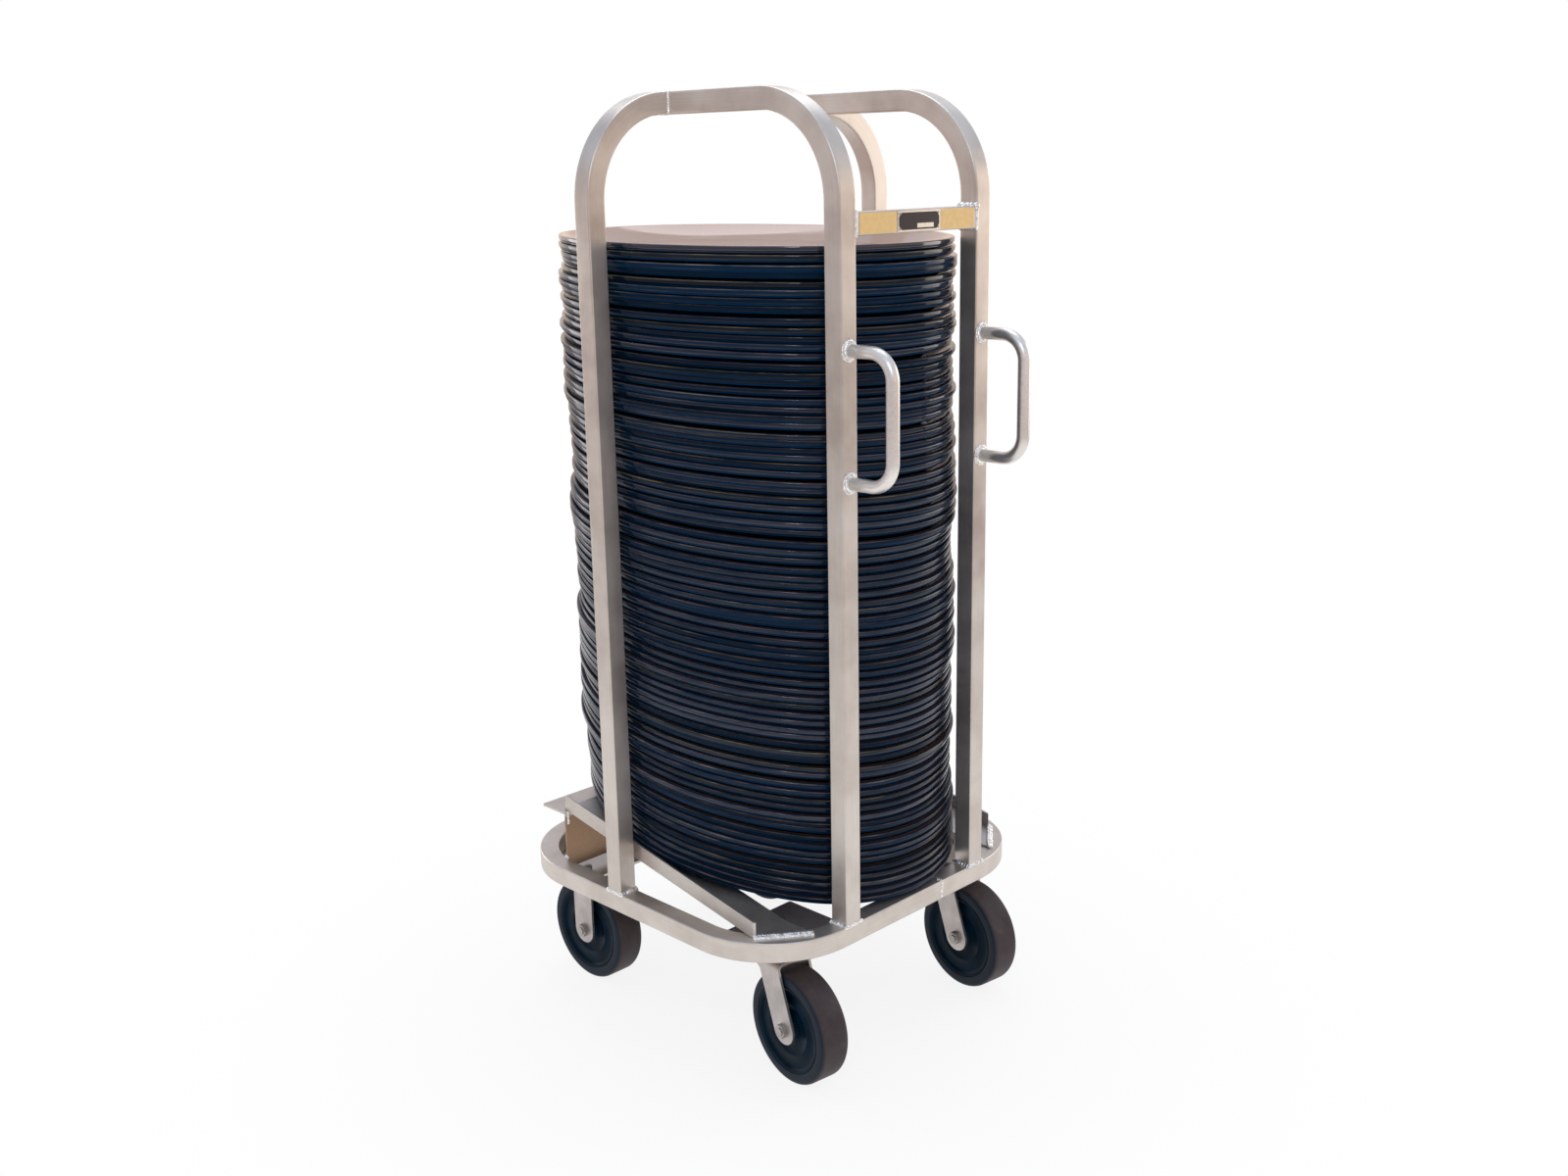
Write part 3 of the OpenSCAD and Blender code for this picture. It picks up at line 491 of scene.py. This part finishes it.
def make_tubes():
    """The frame's square tubes: hoops, rear posts, ring and crossbar."""
    def tube(name, path, node, radius=TUBE_CORNER, **kind):
        mesh = square_sweep(name, path, radius, **kind)
        weighted(piece(name, mesh, "cart", TUBE_SKIN, [node]))

    for side, sign in (("near", -1), ("far", 1)):
        y = sign * HOOP_Y
        path = straight(V((HOOP_X, y, RING_TOP)), V((HOOP_X, y, BEND_Z)), Y, X, 8)
        path += bend(V((HOOP_X - BEND, y, BEND_Z)), BEND, X, Z, Y)
        path += straight(V((HOOP_X - BEND, y, BAR_Z)), V((POST_X - TUBE / 2, y, BAR_Z)), Y, Z, 3)
        tube("hoop_tube_" + side, path, "hoop_" + side, wall=TUBE_WALL)
        y = sign * POST_Y
        out = Y * sign
        path = straight(V((POST_X, y, RING_TOP)), V((POST_X, y, BEND_Z)), X, out, 8)
        path += bend(V((POST_X, y - sign * BEND, BEND_Z)), BEND, out, Z, X)
        path += straight(V((POST_X, y - sign * BEND, BAR_Z)),
                         V((POST_X, y - sign * (BEND + POST_STUB), BAR_Z)), X, Z)
        tube("rear_tube_" + side, path, "rear_post_" + side)
    half_x, half_y = HALF_L - TUBE / 2 - BEND, HALF_W - TUBE / 2 - BEND
    z = RING_TOP - TUBE / 2
    path = []
    for a, b, sx, sy in ((X, Y, 1, 1), (Y, -X, -1, 1), (-X, -Y, -1, -1), (-Y, X, 1, -1)):
        reach, half = (half_x, half_y) if a.x else (half_y, half_x)
        mid = V((0, 0, z)) + a * (reach + BEND)
        path += straight(mid - b * half, mid + b * half, Z, a, 4)
        path += bend(V((sx * half_x, sy * half_y, z)), BEND, a, b, Z)
    tube("ring_tube", path, "base_ring", closed=True)
    path = straight(V((HOOP_X, -HOOP_IN, CROSSBAR_Z)), V((HOOP_X, HOOP_IN, CROSSBAR_Z)), Z, X, 4)
    tube("cross_tube", path, "crossbar", CROSSBAR_CORNER)


def make_handles():
    """Two handles of bent round rod, each with two legs against its front post."""
    leg = HALF_L + HANDLE_REACH - HANDLE_BEND
    top, low = HANDLE_Z + HANDLE_SPAN / 2, HANDLE_Z - HANDLE_SPAN / 2
    for side, sign in (("near", -1), ("far", 1)):
        y = sign * HOOP_Y
        path = straight(V((HALF_L, y, top)), V((leg, y, top)), Y, Z)
        path += bend(V((leg, y, top - HANDLE_BEND)), HANDLE_BEND, Z, X, Y, 14)
        path += straight(V((leg + HANDLE_BEND, y, top - HANDLE_BEND)),
                         V((leg + HANDLE_BEND, y, low + HANDLE_BEND)), Y, X)
        path += bend(V((leg, y, low + HANDLE_BEND)), HANDLE_BEND, X, -Z, Y, 14)
        path += straight(V((leg, y, low)), V((HALF_L, y, low)), Y, -Z)
        mesh = round_sweep("handle_rod_" + side, path, HANDLE_ROD / 2)
        piece("handle_rod_" + side, mesh, "cart", ROD_SKIN, ["handle_" + side])


def mirrored(half):
    """A profile's points and their mirror image on the other side of the wheel."""
    return half + [(r, -p) for r, p in reversed(half)]


def arc(cx, cy, r, a0, a1, steps):
    """Points of an arc between two angles in degrees."""
    turns = [math.radians(a0 + (a1 - a0) * k / steps) for k in range(steps + 1)]
    return [(cx + r * math.cos(t), cy + r * math.sin(t)) for t in turns]


def make_wheels():
    """A tyre and a moulded core on each caster's axle; the front ones trail."""
    w, shoulder = WHEEL_HALF_W, 7.0
    tyre = mirrored([(CORE_R, w - 1.2), (CORE_R + 0.6, w - 0.4), (CORE_R + 1.6, w), (CORE_R + 5, w)]
                    + arc(WHEEL_R - shoulder, w - shoulder, shoulder, 84, 8, 7)
                    + [(WHEEL_R - 0.05, 14.0), (WHEEL_R, 5.0)])
    # The core's hub stands proud, then come the web with its raised ring and the rim
    core = mirrored([(9.0, 25.6), (10.0, 26.0), (18.6, 26.0), (19.8, 25.2), (21.2, 21.6),
                     (23.4, 20.6), (41.0, 20.4), (42.2, 21.2), (44.4, 21.2), (45.6, 20.4),
                     (60.8, 20.4), (63.6, 21.0), (65.4, 23.4), (67.0, 24.3), (CORE_R - 0.4, 24.4),
                     (CORE_R - 0.05, 24.0)])
    for key, sx, sy in (("fn", 1, -1), ("ff", 1, 1), ("rn", -1, -1), ("rf", -1, 1)):
        yaw, trail = (CASTER_YAW, TRAIL) if sx > 0 else (0.0, 0.0)
        axis = V((-math.sin(yaw), math.cos(yaw), 0))
        centre = V((sx * CASTER_X, sy * CASTER_Y, WHEEL_R)) + axis.cross(Z) * trail
        for name, profile, steps, skin, slot_name, node in (
                ("tread_", tyre, 120, TREAD, "tyre", "tyre_"),
                ("web_", core, 96, CORE, "wheel_core", "core_")):
            mesh = lathe(name + key, profile, centre, axis, steps)
            piece(name + key, mesh, "wheel_" + key, skin, [node + key])


# Geometry Nodes: weld beads and the stack

def node_group(name, inputs):
    """A Geometry Nodes tree with its named inputs."""
    tree = bpy.data.node_groups.new(name, "GeometryNodeTree")
    tree.interface.new_socket("Geometry", in_out="INPUT", socket_type="NodeSocketGeometry")
    tree.interface.new_socket("Geometry", in_out="OUTPUT", socket_type="NodeSocketGeometry")
    for label, kind in inputs:
        tree.interface.new_socket(label, in_out="INPUT", socket_type="NodeSocket" + kind)
    return tree, tree.nodes.new("NodeGroupInput").outputs


def end_tree(tree, instances, material):
    """Realizes the instances, gives them their material and ends the tree."""
    real = add(tree, "GeometryNodeRealizeInstances", None, instances)
    skin = add(tree, "GeometryNodeSetMaterial", None, real, Material=material)
    add(tree, "NodeGroupOutput", None, skin)


def grow(name, mesh, tree, values):
    """The plain mesh that a Geometry Nodes tree makes from a mesh."""
    obj = bpy.data.objects.new(name + "_source", mesh)
    bpy.context.scene.collection.objects.link(obj)
    mod = obj.modifiers.new("nodes", "NODES")
    mod.node_group = tree
    keys = {s.name: s.identifier for s in tree.interface.items_tree if s.in_out == "INPUT"}
    for label, value in values.items():
        mod[keys[label]] = value
    graph = bpy.context.evaluated_depsgraph_get()
    out = bpy.data.meshes.new_from_object(obj.evaluated_get(graph), preserve_all_data_layers=True,
                                          depsgraph=graph)
    out.name = name
    obj.modifiers.remove(mod)
    bpy.data.objects.remove(obj)
    return out


def weld_tree():
    """Overlapping ripples along each edge path: flat drops, wide across the bead."""
    tree, ins = node_group("weld_ripples", [
        ("Ripple Pitch", "Float"), ("Half Length", "Float"), ("Half Width", "Float"),
        ("Height", "Float"), ("Seed", "Int")])
    curve = add(tree, "GeometryNodeMeshToCurve", None, ins["Geometry"])
    steps = add(tree, "GeometryNodeResampleCurve", {"mode": "LENGTH"}, curve,
                Length=ins["Ripple Pitch"])
    tangent = add(tree, "GeometryNodeInputTangent")
    outward = add(tree, "GeometryNodeInputNamedAttribute", VECTORS, Name="bead_out")
    wide = add(tree, "GeometryNodeInputNamedAttribute", {"data_type": "FLOAT"}, Name="bead_size")
    first = add(tree, "FunctionNodeAlignEulerToVector", {"axis": "X"}, Vector=tangent)
    turn = add(tree, "FunctionNodeAlignEulerToVector", {"axis": "Z", "pivot_axis": "X"}, first,
               Vector=outward)
    drop = add(tree, "GeometryNodeMeshUVSphere", None, Segments=8, Rings=5, Radius=1.0)
    smooth = add(tree, "GeometryNodeSetShadeSmooth", None, drop)
    base = add(tree, JOIN, None, ins["Half Length"], ins["Half Width"], ins["Height"])
    uneven = add(tree, RANDOM, VECTORS, (0.85, 0.80, 0.70), (1.20, 1.15, 1.25), Seed=ins["Seed"])
    size = add(tree, VECTOR_MATH, {"operation": "SCALE"},
               add(tree, VECTOR_MATH, TIMES, base, uneven), Scale=wide)
    drops = add(tree, "GeometryNodeInstanceOnPoints", None, steps, Instance=smooth, Rotation=turn,
                Scale=size)
    end_tree(tree, drops, WELD)
    return tree


def bead_paths():
    """Paths of the weld beads as (points, outward directions, size). They lie a millimetre or so
    off the joint's corner, and their size is a share of the usual bead's."""
    paths = []
    h = TUBE / 2

    def line(a, b, outward, size=1.0):
        paths.append(([V(a), V(b)], [outward.normalized()] * 2, size))

    # Posts on the ring: fillets on the free sides, flat beads where the faces are flush
    for x, y, free, flush in ((HOOP_X, -HOOP_Y, Y, X), (HOOP_X, HOOP_Y, Y, X),
                              (POST_X, -POST_Y, X, Y), (POST_X, POST_Y, X, Y)):
        for s in (-1, 1):
            mid = V((x, y, RING_TOP + 0.8)) + free * s * (h + 0.8)
            line(mid - flush * (h - 1), mid + flush * (h - 1), free * s + Z, 1.6)
            mid = V((x, y, RING_TOP)) + flush * s * (h - 0.5)
            line(mid - free * (h + 1), mid + free * (h + 1), flush * s, 1.15)
    # Rear posts' bends against the hoop bars
    for s in (-1, 1):
        y = s * (HOOP_Y + h)
        for side in (-1, 1):
            x = POST_X + side * h
            outward = X * side + Y * s if side > 0 else X * side
            line((x, y, BAR_Z - h + 1), (x, y, BAR_Z + h - 1), outward, 1.05)
        for top in (-1, 1):
            z = BAR_Z + top * (h - 0.6)
            line((POST_X - h + 1, y, z), (POST_X + h - 1, y, z), Z * top, 0.95)
    # Crossbar against the front posts, with a heavier run on top of the far one
    for s in (-1, 1):
        y = s * HOOP_IN
        for face in (-1, 1):
            x = HOOP_X + face * (h - 0.4)
            line((x, y, CROSSBAR_Z - h + 1), (x, y, CROSSBAR_Z + h - 1), X * face)
            z = CROSSBAR_Z + face * (h + 0.6)
            line((HOOP_X - h + 1, y - s * 0.8, z), (HOOP_X + h - 1, y - s * 0.8, z),
                 Z * face - Y * s, 2.0 if face > 0 and s > 0 else 1.0)
    # Handle legs on the posts, each with a second, flatter pass around the first
    for s in (-1, 1):
        for end in (-1, 1):
            middle = V((HALF_L + 1.2, s * HOOP_Y, HANDLE_Z + end * HANDLE_SPAN / 2))
            outs = [V((0, math.cos(math.tau * k / 24), math.sin(math.tau * k / 24))) for k in range(25)]
            ring = [middle + out * (HANDLE_ROD / 2 + 1.0) for out in outs]
            dirs = [(out + X).normalized() for out in outs]
            paths.append((ring, dirs, 1.25))
            paths.append(([p + (d - X * d.x) * 4.2 - X * 1.0 for p, d in zip(ring, dirs)],
                          [X] * 25, 1.0))
    for s in (-1, 1):
        # Front ends of the rails, cut along the ring's corner: a wide bright run
        a, b = V((LIP_X, s * LIP_Y, RING_TOP)), V((RAIL_X, s * FLANGE_Y, RING_TOP))
        along = (b - a).normalized()
        ahead = along.cross(Z) * s
        ahead = ahead if ahead.x > 0 else -ahead
        for off, z in ((1.0, 3.4), (3.6, 1.6)):
            p, q = a + ahead * off + Z * z, b + ahead * off + Z * z
            line(p + along * 2, q - along * 1, ahead * 0.6 + Z, 1.35)
        # Rear ends of the rails on the cross angle, and their lips against it
        x, y, z = CROSS_X - 8.5, s * (LIP_Y + 0.6), CROSS_TOP + 1.2
        line((x, s * (LIP_Y - 4), z), (x, s * (FLANGE_Y + 2), z), Z - X, 1.1)
        line((CROSS_X, y, CROSS_TOP - 22), (CROSS_X, y, CROSS_TOP - 2), Y * s + X, 0.8)
        # Ends of the cross angle's leg on the ring's inner side
        y = s * (HALF_W - TUBE - 1.8)
        line((CROSS_X + 0.8, y, RING_TOP - 16), (CROSS_X + 0.8, y, RING_TOP + 2), X - Y * s)
        x, y = CROSS_X - CROSS_THICK, y - s * 1.0
        line((x, y, RING_TOP - 16), (x, y, RING_TOP + 2), -X - Y * s)
    # Butt joint of the bent ring
    y = RING_JOINT_Y
    line((HALF_L - 0.4, y, RING_TOP - 4), (HALF_L - 0.4, y, RING_TOP - TUBE + 4), X, 0.9)
    line((HALF_L - 4, y, RING_TOP - 0.4), (HALF_L - TUBE + 4, y, RING_TOP - 0.4), Z, 0.9)
    return paths


def make_welds():
    """All weld beads as one piece on the cart."""
    verts, edges, outs, sizes = [], [], [], []
    for points, dirs, size in bead_paths():
        start = len(verts)
        verts += [p * MM for p in points]
        outs += dirs
        sizes += [size] * len(points)
        edges += [(start + k, start + k + 1) for k in range(len(points) - 1)]
    mesh = bpy.data.meshes.new("bead_paths")
    mesh.from_pydata(verts, edges, [])
    mesh.attributes.new("bead_out", "FLOAT_VECTOR", "POINT").data.foreach_set(
        "vector", [c for v in outs for c in v])
    mesh.attributes.new("bead_size", "FLOAT", "POINT").data.foreach_set("value", sizes)
    out = grow("weld_beads", mesh, weld_tree(), {
        "Ripple Pitch": 2.5 * MM, "Half Length": 2.4 * MM, "Half Width": 3.6 * MM,
        "Height": 2.2 * MM, "Seed": 7})
    piece("weld_beads", out, "cart", WELD)


def tray_mesh():
    """One moulded tray: floor, sloping wall, stacking shoulder and a rounded rim."""
    # Points of (inset from the outline, height), from the dish's floor over the rim to its foot
    profile = [(37.5, 3.0), (9.5, 26.2), (8.0, 26.85), (6.5, 27.0), (2.2, 27.0), (0.8, 26.7),
               (0.15, 26.0), (0.0, 24.8), (0.1, 21.6), (0.35, 20.4), (0.9, 19.7), (1.7, 19.4),
               (2.2, 19.0), (2.3, 18.4), (2.3, 17.2), (3.4, 16.5), (16.8, 16.5), (36.2, 0.6),
               (37.5, 0.0)]
    # Share of the pale rim lines at each point: partly wear, partly painted highlight along the rim's top
    # edge
    wear_and_highlight = [0, 0, 0.3, 0.5, 0.6, 1, 0.95, 0.5, 0.5, 0.55, 0.85, 0.6, 0.2, 0, 0, 0, 0, 0, 0]
    lined = [1, 1, 0.9, 0.3] + [0] * 15
    # The oval's outline has two end arcs and two flatter side arcs
    end_r, end_x, end_half = 240.0, 97.0, math.radians(48.24)
    side_r, side_y, side_half = 385.649, 108.649, math.pi / 2 - end_half
    around = []
    for centre, radius, mid, half, count in (
            (V((end_x, 0, 0)), end_r, 0.0, end_half, 30),
            (V((0, -side_y, 0)), side_r, math.pi / 2, side_half, 42),
            (V((-end_x, 0, 0)), end_r, math.pi, end_half, 30),
            (V((0, side_y, 0)), side_r, 1.5 * math.pi, side_half, 42)):
        for k in range(count):
            t = mid - half + 2 * half * k / count
            around.append((centre, radius, V((math.cos(t), math.sin(t), 0))))
    bm = bmesh.new()
    edge = bm.verts.layers.float.new("rim_edge")
    lining = bm.verts.layers.float.new("lining")
    rings = []
    for centre, radius, out in around:
        ring = []
        for (inset, z), wear_and_highlight_here, inside in zip(profile, wear_and_highlight, lined):
            vert = bm.verts.new((centre + out * (radius - inset) + Z * z) * MM)
            vert[edge] = wear_and_highlight_here
            vert[lining] = inside
            ring.append(vert)
        rings.append(ring)
    skin_rings(bm, rings + rings[:1], len(profile) - 1)
    bm.faces.new([r[0] for r in rings])
    bm.faces.new([r[-1] for r in reversed(rings)])
    return closed_mesh("one_tray", bm)


def stack_tree(skin):
    """Nested trays: each lies a pitch higher, a little flatter and a little out of line.
    They are loaded by the handful, so every six or so share a shift and a lean."""
    tree, ins = node_group(skin.name + "_stack", [
        ("Trays", "Int"), ("First Tray", "Int"), ("Pitch", "Float"), ("Slope", "Float"),
        ("Slope Step", "Float"), ("Shift Along", "Float"), ("Shift Across", "Float"),
        ("Turn", "Float"), ("Stack X", "Float"), ("Stack Z", "Float"), ("Uneven", "Float"),
        ("Rock", "Float"), ("Settle", "Float"), ("Seed", "Int")])
    number = add(tree, MATH, PLUS, ins["First Tray"], add(tree, "GeometryNodeInputIndex"))
    # The lowest trays lie true, and the looseness grows over the first six
    ease = add(tree, MATH, {"operation": "MINIMUM"},
               add(tree, MATH, {"operation": "DIVIDE"}, number, 6.0), 1.0)

    def wave(rate, phase, share):
        angle = add(tree, MATH, TIMES_PLUS, number, math.radians(rate), math.radians(phase))
        return add(tree, MATH, TIMES, add(tree, MATH, {"operation": "SINE"}, angle), share)

    def eased(amount, swing=1.0):
        return add(tree, MATH, TIMES, add(tree, MATH, TIMES, ease, amount), swing)

    def seed(step):
        return add(tree, MATH, PLUS, ins["Seed"], step)

    along = eased(ins["Shift Along"], add(tree, MATH, PLUS, wave(67, 0, 0.6), wave(23, 40, 0.4)))
    across = eased(ins["Shift Across"], add(tree, MATH, PLUS, wave(53, 20, 0.5), wave(17, 0, 0.5)))
    turn = eased(ins["Turn"], wave(71, 10, 1.0))
    # Hand-stacked trays lie a few millimetres off, but never nearer to the front posts
    lowest, highest = (-1.0, -1.0, -1.0), (0.0, 1.0, 1.0)
    loose = add(tree, RANDOM, VECTORS, lowest, highest, ID=number, Seed=ins["Seed"])
    handful = add(tree, MATH, {"operation": "FLOOR"}, add(tree, MATH, TIMES_PLUS, number, 0.17, 0.4))
    shared = add(tree, RANDOM, VECTORS, lowest, highest, ID=handful, Seed=seed(5))
    both = add(tree, MIX, {"data_type": "VECTOR"}, 0.55, i4=loose, i5=shared)
    off = add(tree, SPLIT, None, both.outputs[1]).outputs
    slack = eased(ins["Uneven"])
    along = add(tree, MATH, TIMES_PLUS, off["X"], slack, along)
    across = add(tree, MATH, TIMES_PLUS, off["Y"], slack, across)
    # Each tray lies a step flatter than the one below, and rocks with its handful
    tilt = add(tree, MATH, MINUS, ins["Slope"], add(tree, MATH, TIMES, number, ins["Slope Step"]))
    rock = eased(ins["Rock"], add(tree, SPLIT, None, shared).outputs["Z"])
    # Some trays settle fully into the one below, others stand a little proud
    seat = add(tree, RANDOM, {"data_type": "FLOAT"}, i2=-0.8, i3=1.0, ID=number, Seed=seed(9))
    proud = eased(ins["Settle"], seat.outputs[1])
    rise = add(tree, MATH, TIMES_PLUS, number, ins["Pitch"], add(tree, MATH, PLUS, ins["Stack Z"], proud))
    ahead = add(tree, MATH, TIMES, along, add(tree, MATH, {"operation": "COSINE"}, tilt))
    drop = add(tree, MATH, TIMES, along, add(tree, MATH, {"operation": "SINE"}, tilt))
    place = add(tree, JOIN, None, add(tree, MATH, PLUS, ins["Stack X"], ahead), across,
                add(tree, MATH, MINUS, rise, drop))
    row = add(tree, "GeometryNodeMeshLine", None, Count=ins["Trays"])
    points = add(tree, "GeometryNodeSetPosition", None, row, Position=place)
    lean = add(tree, JOIN, None, rock, add(tree, MATH, PLUS, tilt, rock))
    trays = add(tree, "GeometryNodeInstanceOnPoints", None, points, Instance=ins["Geometry"],
                Rotation=lean)
    turned = add(tree, "GeometryNodeRotateInstances", None, trays, Local_Space=True,
                 Rotation=add(tree, JOIN, None, Z=turn))
    named = add(tree, "GeometryNodeStoreNamedAttribute",
                {"data_type": "FLOAT", "domain": "INSTANCE"}, turned, Name="tray_number",
                Value=number)
    end_tree(tree, named, skin)
    return tree


def make_stack():
    """Eight groups of nested trays, and the top tray on its own body."""
    tray = tray_mesh()
    per_group = 10
    groups = [("tray_group_%d" % (g + 1), "stack", TRAY, per_group * g,
               min(per_group, TRAYS - 1 - per_group * g), 2.6, "trays_%d" % (g + 1))
              for g in range(TRAYS // per_group)]
    groups.append(("top_tray_moulded", "top_tray", TOP_TRAY, TRAYS - 1, 1, 0.0, "top_tray"))
    trees = {skin: stack_tree(skin) for skin in (TRAY, TOP_TRAY)}
    for name, body, skin, first, count, settle, node in groups:
        mesh = grow(name, tray.copy(), trees[skin], {
            "Trays": count, "First Tray": first, "Pitch": PITCH * MM, "Slope": SLOPE,
            "Slope Step": (SLOPE - TOP_SLOPE) / (TRAYS - 1), "Shift Along": 1.5 * MM,
            "Shift Across": 2.5 * MM, "Turn": math.radians(0.3), "Stack X": STACK_X * MM,
            "Stack Z": STACK_Z * MM, "Uneven": 7.5 * MM, "Rock": math.radians(0.4),
            "Settle": settle * MM, "Seed": 11})
        piece(name, mesh, body, skin, [node])


def dress_nodes():
    """Broken edges on the sheet metal, and materials on the nodes that keep their shape."""
    for node in ("rail_near", "rail_far"):
        dressed(node, "cart", SHEET_SKIN, 0.7)
    dressed("cross_angle", "cart", ANGLE_SKIN, 0.7)
    for key in ("fn", "ff", "rn", "rf"):
        dressed("corner_plate_" + key, "cart", SHEET_SKIN, 0.6)
    for key in ("fn", "ff", "rn", "rf"):
        body = "swivel_" + key if key[0] == "f" else "cart"
        dressed("fork_" + key, body, CASTER_ZINC, 0.5)
    kept = (("pad_", CASTER_ZINC), ("race_", CASTER_ZINC), ("bolts_", BOLT_ZINC),
            ("axle_", BOLT_ZINC), ("king_pin", BOLT_ZINC), ("plate_rivets", BOLT_ZINC),
            ("bush_", BRONZE), ("blank_plate", PLATE), ("plate_face", PLATE_FIELD),
            ("side_label", LABEL))
    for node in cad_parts:
        for start, material in kept:
            if node.startswith(start):
                finish_node(node, material)


# Camera, floor and light

def aim_camera():
    """The camera as solved from the photograph, its place in metres."""
    place = V((1.8455, -1.8083, 1.3654))
    yaw, pitch, roll = (math.radians(a) for a in (134.91, -14.68, -1.09))
    fwd = V((math.cos(yaw) * math.cos(pitch), math.sin(yaw) * math.cos(pitch), math.sin(pitch)))
    right = V((math.sin(yaw), -math.cos(yaw), 0))
    up = right.cross(fwd)
    r = right * math.cos(roll) + up * math.sin(roll)
    u = up * math.cos(roll) - right * math.sin(roll)
    data = bpy.data.cameras.new("camera")
    data.lens = 37.33
    data.sensor_width = 36.0
    cam = bpy.data.objects.new("camera", data)
    cam.matrix_world = Matrix((r, u, -fwd)).transposed().to_4x4()
    cam.matrix_world.translation = place
    bpy.context.scene.collection.objects.link(cam)
    bpy.context.scene.camera = cam


def lamp(name, place, target, size, power, tint):
    """A square area lamp that faces its target."""
    data = bpy.data.lights.new(name, "AREA")
    data.shape = "SQUARE"
    data.size = size
    data.energy = power
    data.color = tint
    obj = bpy.data.objects.new(name, data)
    turn = (V(target) - V(place)).to_track_quat("-Z", "Y").to_matrix().to_4x4()
    obj.matrix_world = Matrix.Translation(place) @ turn
    bpy.context.scene.collection.objects.link(obj)


def make_floor():
    """A pale floor, which is stage and no part of the cart."""
    half = 12.0
    mesh = bpy.data.meshes.new("floor")
    mesh.from_pydata([(-half, -half, 0), (half, -half, 0), (half, half, 0), (-half, half, 0)], [],
                     [(0, 1, 2, 3)])
    floor = bpy.data.objects.new("floor", mesh)
    bpy.context.scene.collection.objects.link(floor)
    mat, tree, shader, where = surface("pale_floor")
    wire(tree, shader, Base_Color=shade("f4f3f2"), Roughness=0.9, Specular_IOR_Level=0.1)
    # White for the camera and in reflections, with the object's shadow kept near its wheels
    far = add(tree, VECTOR_MATH, {"operation": "LENGTH"}, where["Object"]).outputs["Value"]
    edge = add(tree, RANGE, EASED, far, From_Min=0.25, From_Max=1.2, To_Min=0.86, To_Max=1.0)
    path = tree.nodes.new("ShaderNodeLightPath").outputs
    ray = add(tree, MATH, {"operation": "MAXIMUM"}, path["Is Camera Ray"], path["Is Glossy Ray"])
    seen = add(tree, MATH, TIMES, edge, ray)
    # In reflections it turns to a dimmer warm floor some way off
    away = add(tree, RANGE, EASED, far, From_Min=1.6, From_Max=5.0)
    warm = add(tree, RAMP, {"stops": [(0.0, (1, 1, 1)), (1.0, (0.44, 0.37, 0.35))]}, away)
    tone = add(tree, MIX, COLOURS, path["Is Glossy Ray"], i6=(1, 1, 1, 1), i7=warm)
    white = add(tree, "ShaderNodeEmission", None, Color=tone.outputs[2], Strength=1.0)
    both = add(tree, "ShaderNodeMixShader", None, seen, shader, white)
    wire(tree, next(n for n in tree.nodes if n.type == "OUTPUT_MATERIAL"), Surface=both)
    mesh.materials.append(mat)


def make_world():
    """A room of beige walls, brighter to the left and behind the cart, with a cool ceiling."""
    world = bpy.data.worlds.new("room")
    bpy.context.scene.world = world
    world.use_nodes = True
    tree = world.node_tree
    tree.nodes.clear()
    axis = add(tree, SPLIT, None, tree.nodes.new("ShaderNodeTexCoord").outputs["Generated"]).outputs
    angle = add(tree, MATH, {"operation": "ARCTAN2"}, axis["Y"], axis["X"])
    turn = add(tree, MATH, TIMES_PLUS, angle, 1 / math.tau, 0.5)
    # Walls from straight behind the rear end, once round anticlockwise
    walls = add(tree, RAMP, {"stops": [
        (0.0, (1.15, 1.08, 1.02)), (0.09, (0.74, 0.66, 0.65)), (0.25, (0.50, 0.44, 0.45)),
        (0.37, (0.62, 0.54, 0.53)), (0.50, (0.95, 0.76, 0.70)), (0.64, (0.80, 0.66, 0.55)),
        (0.75, (0.86, 0.72, 0.62)), (0.88, (1.0, 0.80, 0.68)), (1.0, (1.15, 1.08, 1.02))]}, turn)
    up = add(tree, RANGE, EASED, axis["Z"], From_Min=0.12, From_Max=0.55)
    room = add(tree, MIX, COLOURS, up, i6=walls, i7=(0.55, 0.62, 0.74, 1))
    path = tree.nodes.new("ShaderNodeLightPath").outputs
    seen = add(tree, MIX, COLOURS, path["Is Camera Ray"], i6=room.outputs[2], i7=(1, 1, 1, 1))
    back = add(tree, "ShaderNodeBackground", None, Color=seen.outputs[2], Strength=1.0)
    add(tree, "ShaderNodeOutputWorld", None, Surface=back)


make_tubes()
make_handles()
make_wheels()
make_welds()
make_stack()
dress_nodes()
aim_camera()
make_floor()
make_world()
CENTRE = (0, 0, 0.75)
lamp("soft_right", (1.1, 2.7, 1.3), (0, 0, 0.5), 1.6, 17, (1.0, 0.95, 0.89))
lamp("soft_left", (-2.7, -0.7, 0.9), (0, 0, 0.3), 1.4, 12, (1.0, 0.96, 0.94))
lamp("soft_top", (-0.6, 0.5, 3.4), CENTRE, 2.2, 32, (0.95, 0.975, 1.0))
lamp("window", (2.2, -2.3, 3.0), CENTRE, 0.45, 16, (0.90, 0.95, 1.0))
bpy.context.scene.view_settings.view_transform = "Standard"
